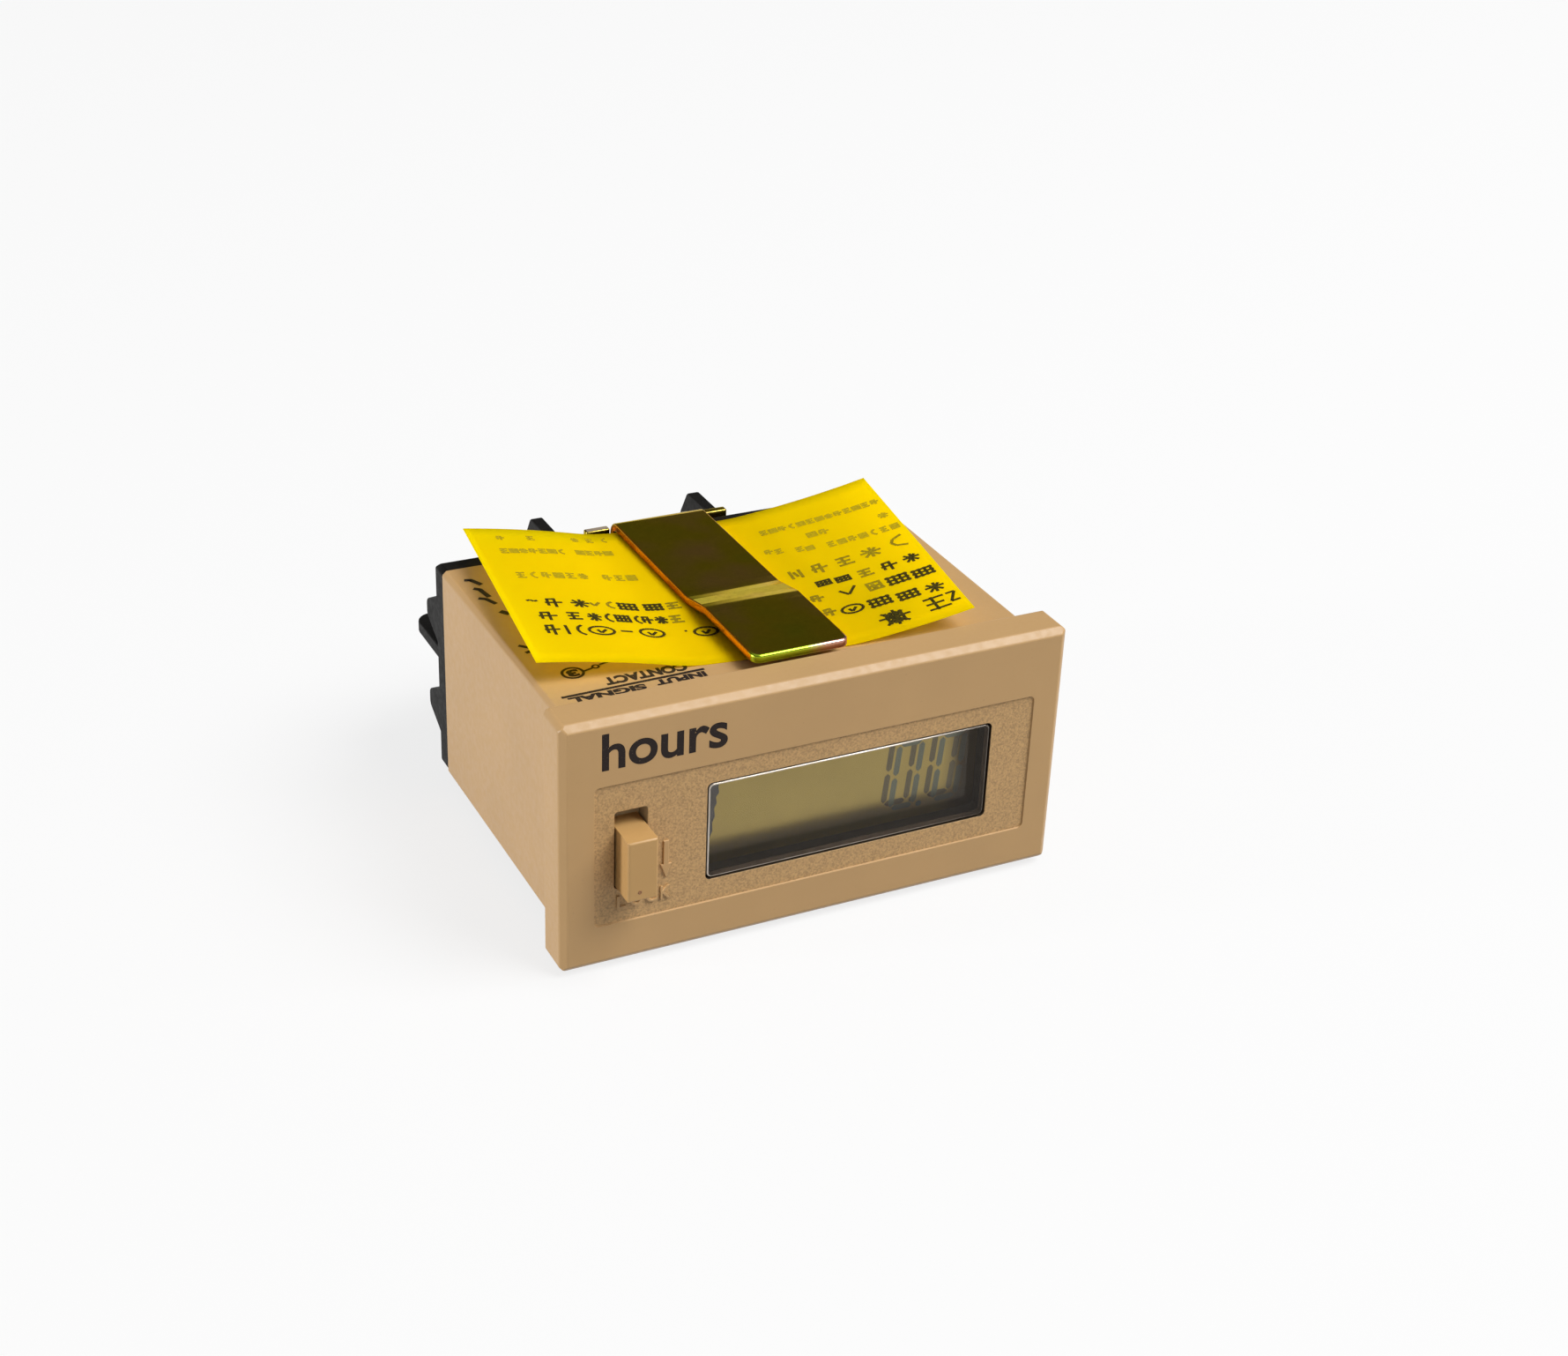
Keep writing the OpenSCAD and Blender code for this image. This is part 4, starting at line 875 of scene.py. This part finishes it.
form = bmesh.new()
for row in (
        ("e(x#e* xe#", (-17.0, 17.1), (-6.5, 17.5), 0.95, 1.2, 0.26),
        ("e#*xe#( #ex#", (-17.3, 22.3), (-7.2, 22.9), 0.85, 1.0, 0.26),
        ("x e  *e(", (-17.0, 25.2), (-6.8, 25.8), 0.8, 0.9, 0.22),
        ("e#x(#e#*xe#ex", (8.1, 23.0), (19.2, 22.4), 0.8, 0.9, 0.26),
        ("#x    *", (12.0, 20.3), (19.0, 19.6), 1.0, 1.0, 0.24),
        ("e#x#(e#", (13.0, 17.6), (19.2, 17.1), 0.8, 1.0, 0.26),
        ("xe e#", (7.3, 19.2), (11.0, 18.0), 0.8, 0.9, 0.24)):
    print_row(form, *row)
add_piece("slip_faint_print", from_form("slip_faint_print", form), "housing", "slip_paper",
          slip_ink("slip_faint_ink", (0.36, 0.26, 0.004), (0.55, 0.4, 0.004)))

# Floor, light and camera
# A pale floor that stays white behind the object, a low lamp at the left, a high one at the right
# and a camera at the photograph's place.
form = bmesh.new()
bmesh.ops.create_grid(form, x_segments=1, y_segments=1, size=2)
bmesh.ops.translate(form, vec=(0, 0, cad_low.z), verts=form.verts)
floor = bpy.data.objects.new("floor", from_form("floor", form))
bpy.context.scene.collection.objects.link(floor)
floor_white = bpy.data.materials.new("floor_white")
floor_white.use_nodes = True
tree = floor_white.node_tree
tree.nodes.remove(tree.nodes["Principled BSDF"])
rays = tree.nodes.new("ShaderNodeLightPath")
matt = tree.nodes.new("ShaderNodeBsdfDiffuse")
grey = shades(tree, rays.outputs["Is Camera Ray"], (0.0, (0.35,) * 3), (1.0, (0.75,) * 3))
tree.links.new(grey, matt.inputs["Color"])
plain = tree.nodes.new("ShaderNodeEmission")
seen = rays.outputs["Is Camera Ray"]
for way in ("Is Glossy Ray", "Is Transmission Ray"):
    either = tree.nodes.new("ShaderNodeMath")
    either.operation = "MAXIMUM"
    tree.links.new(seen, either.inputs[0])
    tree.links.new(rays.outputs[way], either.inputs[1])
    seen = either.outputs["Value"]
part = tree.nodes.new("ShaderNodeMath")
part.operation = "MULTIPLY"
part.inputs[1].default_value = 0.8
mix = tree.nodes.new("ShaderNodeMixShader")
tree.links.new(seen, part.inputs[0])
tree.links.new(part.outputs["Value"], mix.inputs["Fac"])
tree.links.new(matt.outputs["BSDF"], mix.inputs[1])
tree.links.new(plain.outputs["Emission"], mix.inputs[2])
tree.links.new(mix.outputs["Shader"], tree.nodes["Material Output"].inputs["Surface"])
floor.data.materials.append(floor_white)

world = bpy.data.worlds.new("studio")
bpy.context.scene.world = world
world.use_nodes = True
tree = world.node_tree
place = tree.nodes.new("ShaderNodeTexCoord")
axes = tree.nodes.new("ShaderNodeSeparateXYZ")
tree.links.new(place.outputs["Generated"], axes.inputs["Vector"])
height = shades(tree, axes.outputs["Z"], (0.0, (0.95,) * 3), (0.12, (0.85,) * 3), (0.2, (0.12,) * 3),
                (0.6, (0.08,) * 3), (0.85, (0.35,) * 3))
rays = tree.nodes.new("ShaderNodeLightPath")
backdrop = tree.nodes.new("ShaderNodeMix")
backdrop.data_type = "RGBA"
backdrop.inputs["B"].default_value = (1, 1, 1, 1)
tree.links.new(rays.outputs["Is Camera Ray"], backdrop.inputs["Factor"])
tree.links.new(height, backdrop.inputs["A"])
tree.links.new(backdrop.outputs["Result"], tree.nodes["Background"].inputs["Color"])


def soft_lamp(name, place, size, share):
    """A square lamp that looks at the object and adds the given share of plain light on a face towards it."""
    place = Vector(place)
    lamp = bpy.data.lights.new(name, "AREA")
    lamp.size = size
    lamp.energy = math.pi ** 2 * place.length_squared * share
    holder = bpy.data.objects.new(name, lamp)
    holder.location = place
    holder.rotation_euler = (-place).to_track_quat("-Z", "Y").to_euler()
    bpy.context.scene.collection.objects.link(holder)


soft_lamp("left_lamp", (-1.2, 0.25, 0.08), 0.16, 0.68)
soft_lamp("right_lamp", (0.66, -0.54, 1.14), 0.9, 1.22)

camera_data = bpy.data.cameras.new("camera")
camera_data.sensor_width = 36
camera_data.lens = 56.485
camera_data.clip_start = 0.01
camera = bpy.data.objects.new("camera", camera_data)
camera.location = (-86.53 * mm, -164.14 * mm, 110.0 * mm)
look, roll = Vector((0.40313, 0.78184, -0.47562)), math.radians(2.463)
camera.rotation_euler = (look.to_track_quat("-Z", "Y") @ Quaternion((0, 0, 1), roll)).to_euler()
bpy.context.scene.collection.objects.link(camera)
bpy.context.scene.camera = camera
bpy.context.scene.view_settings.view_transform = "Standard"
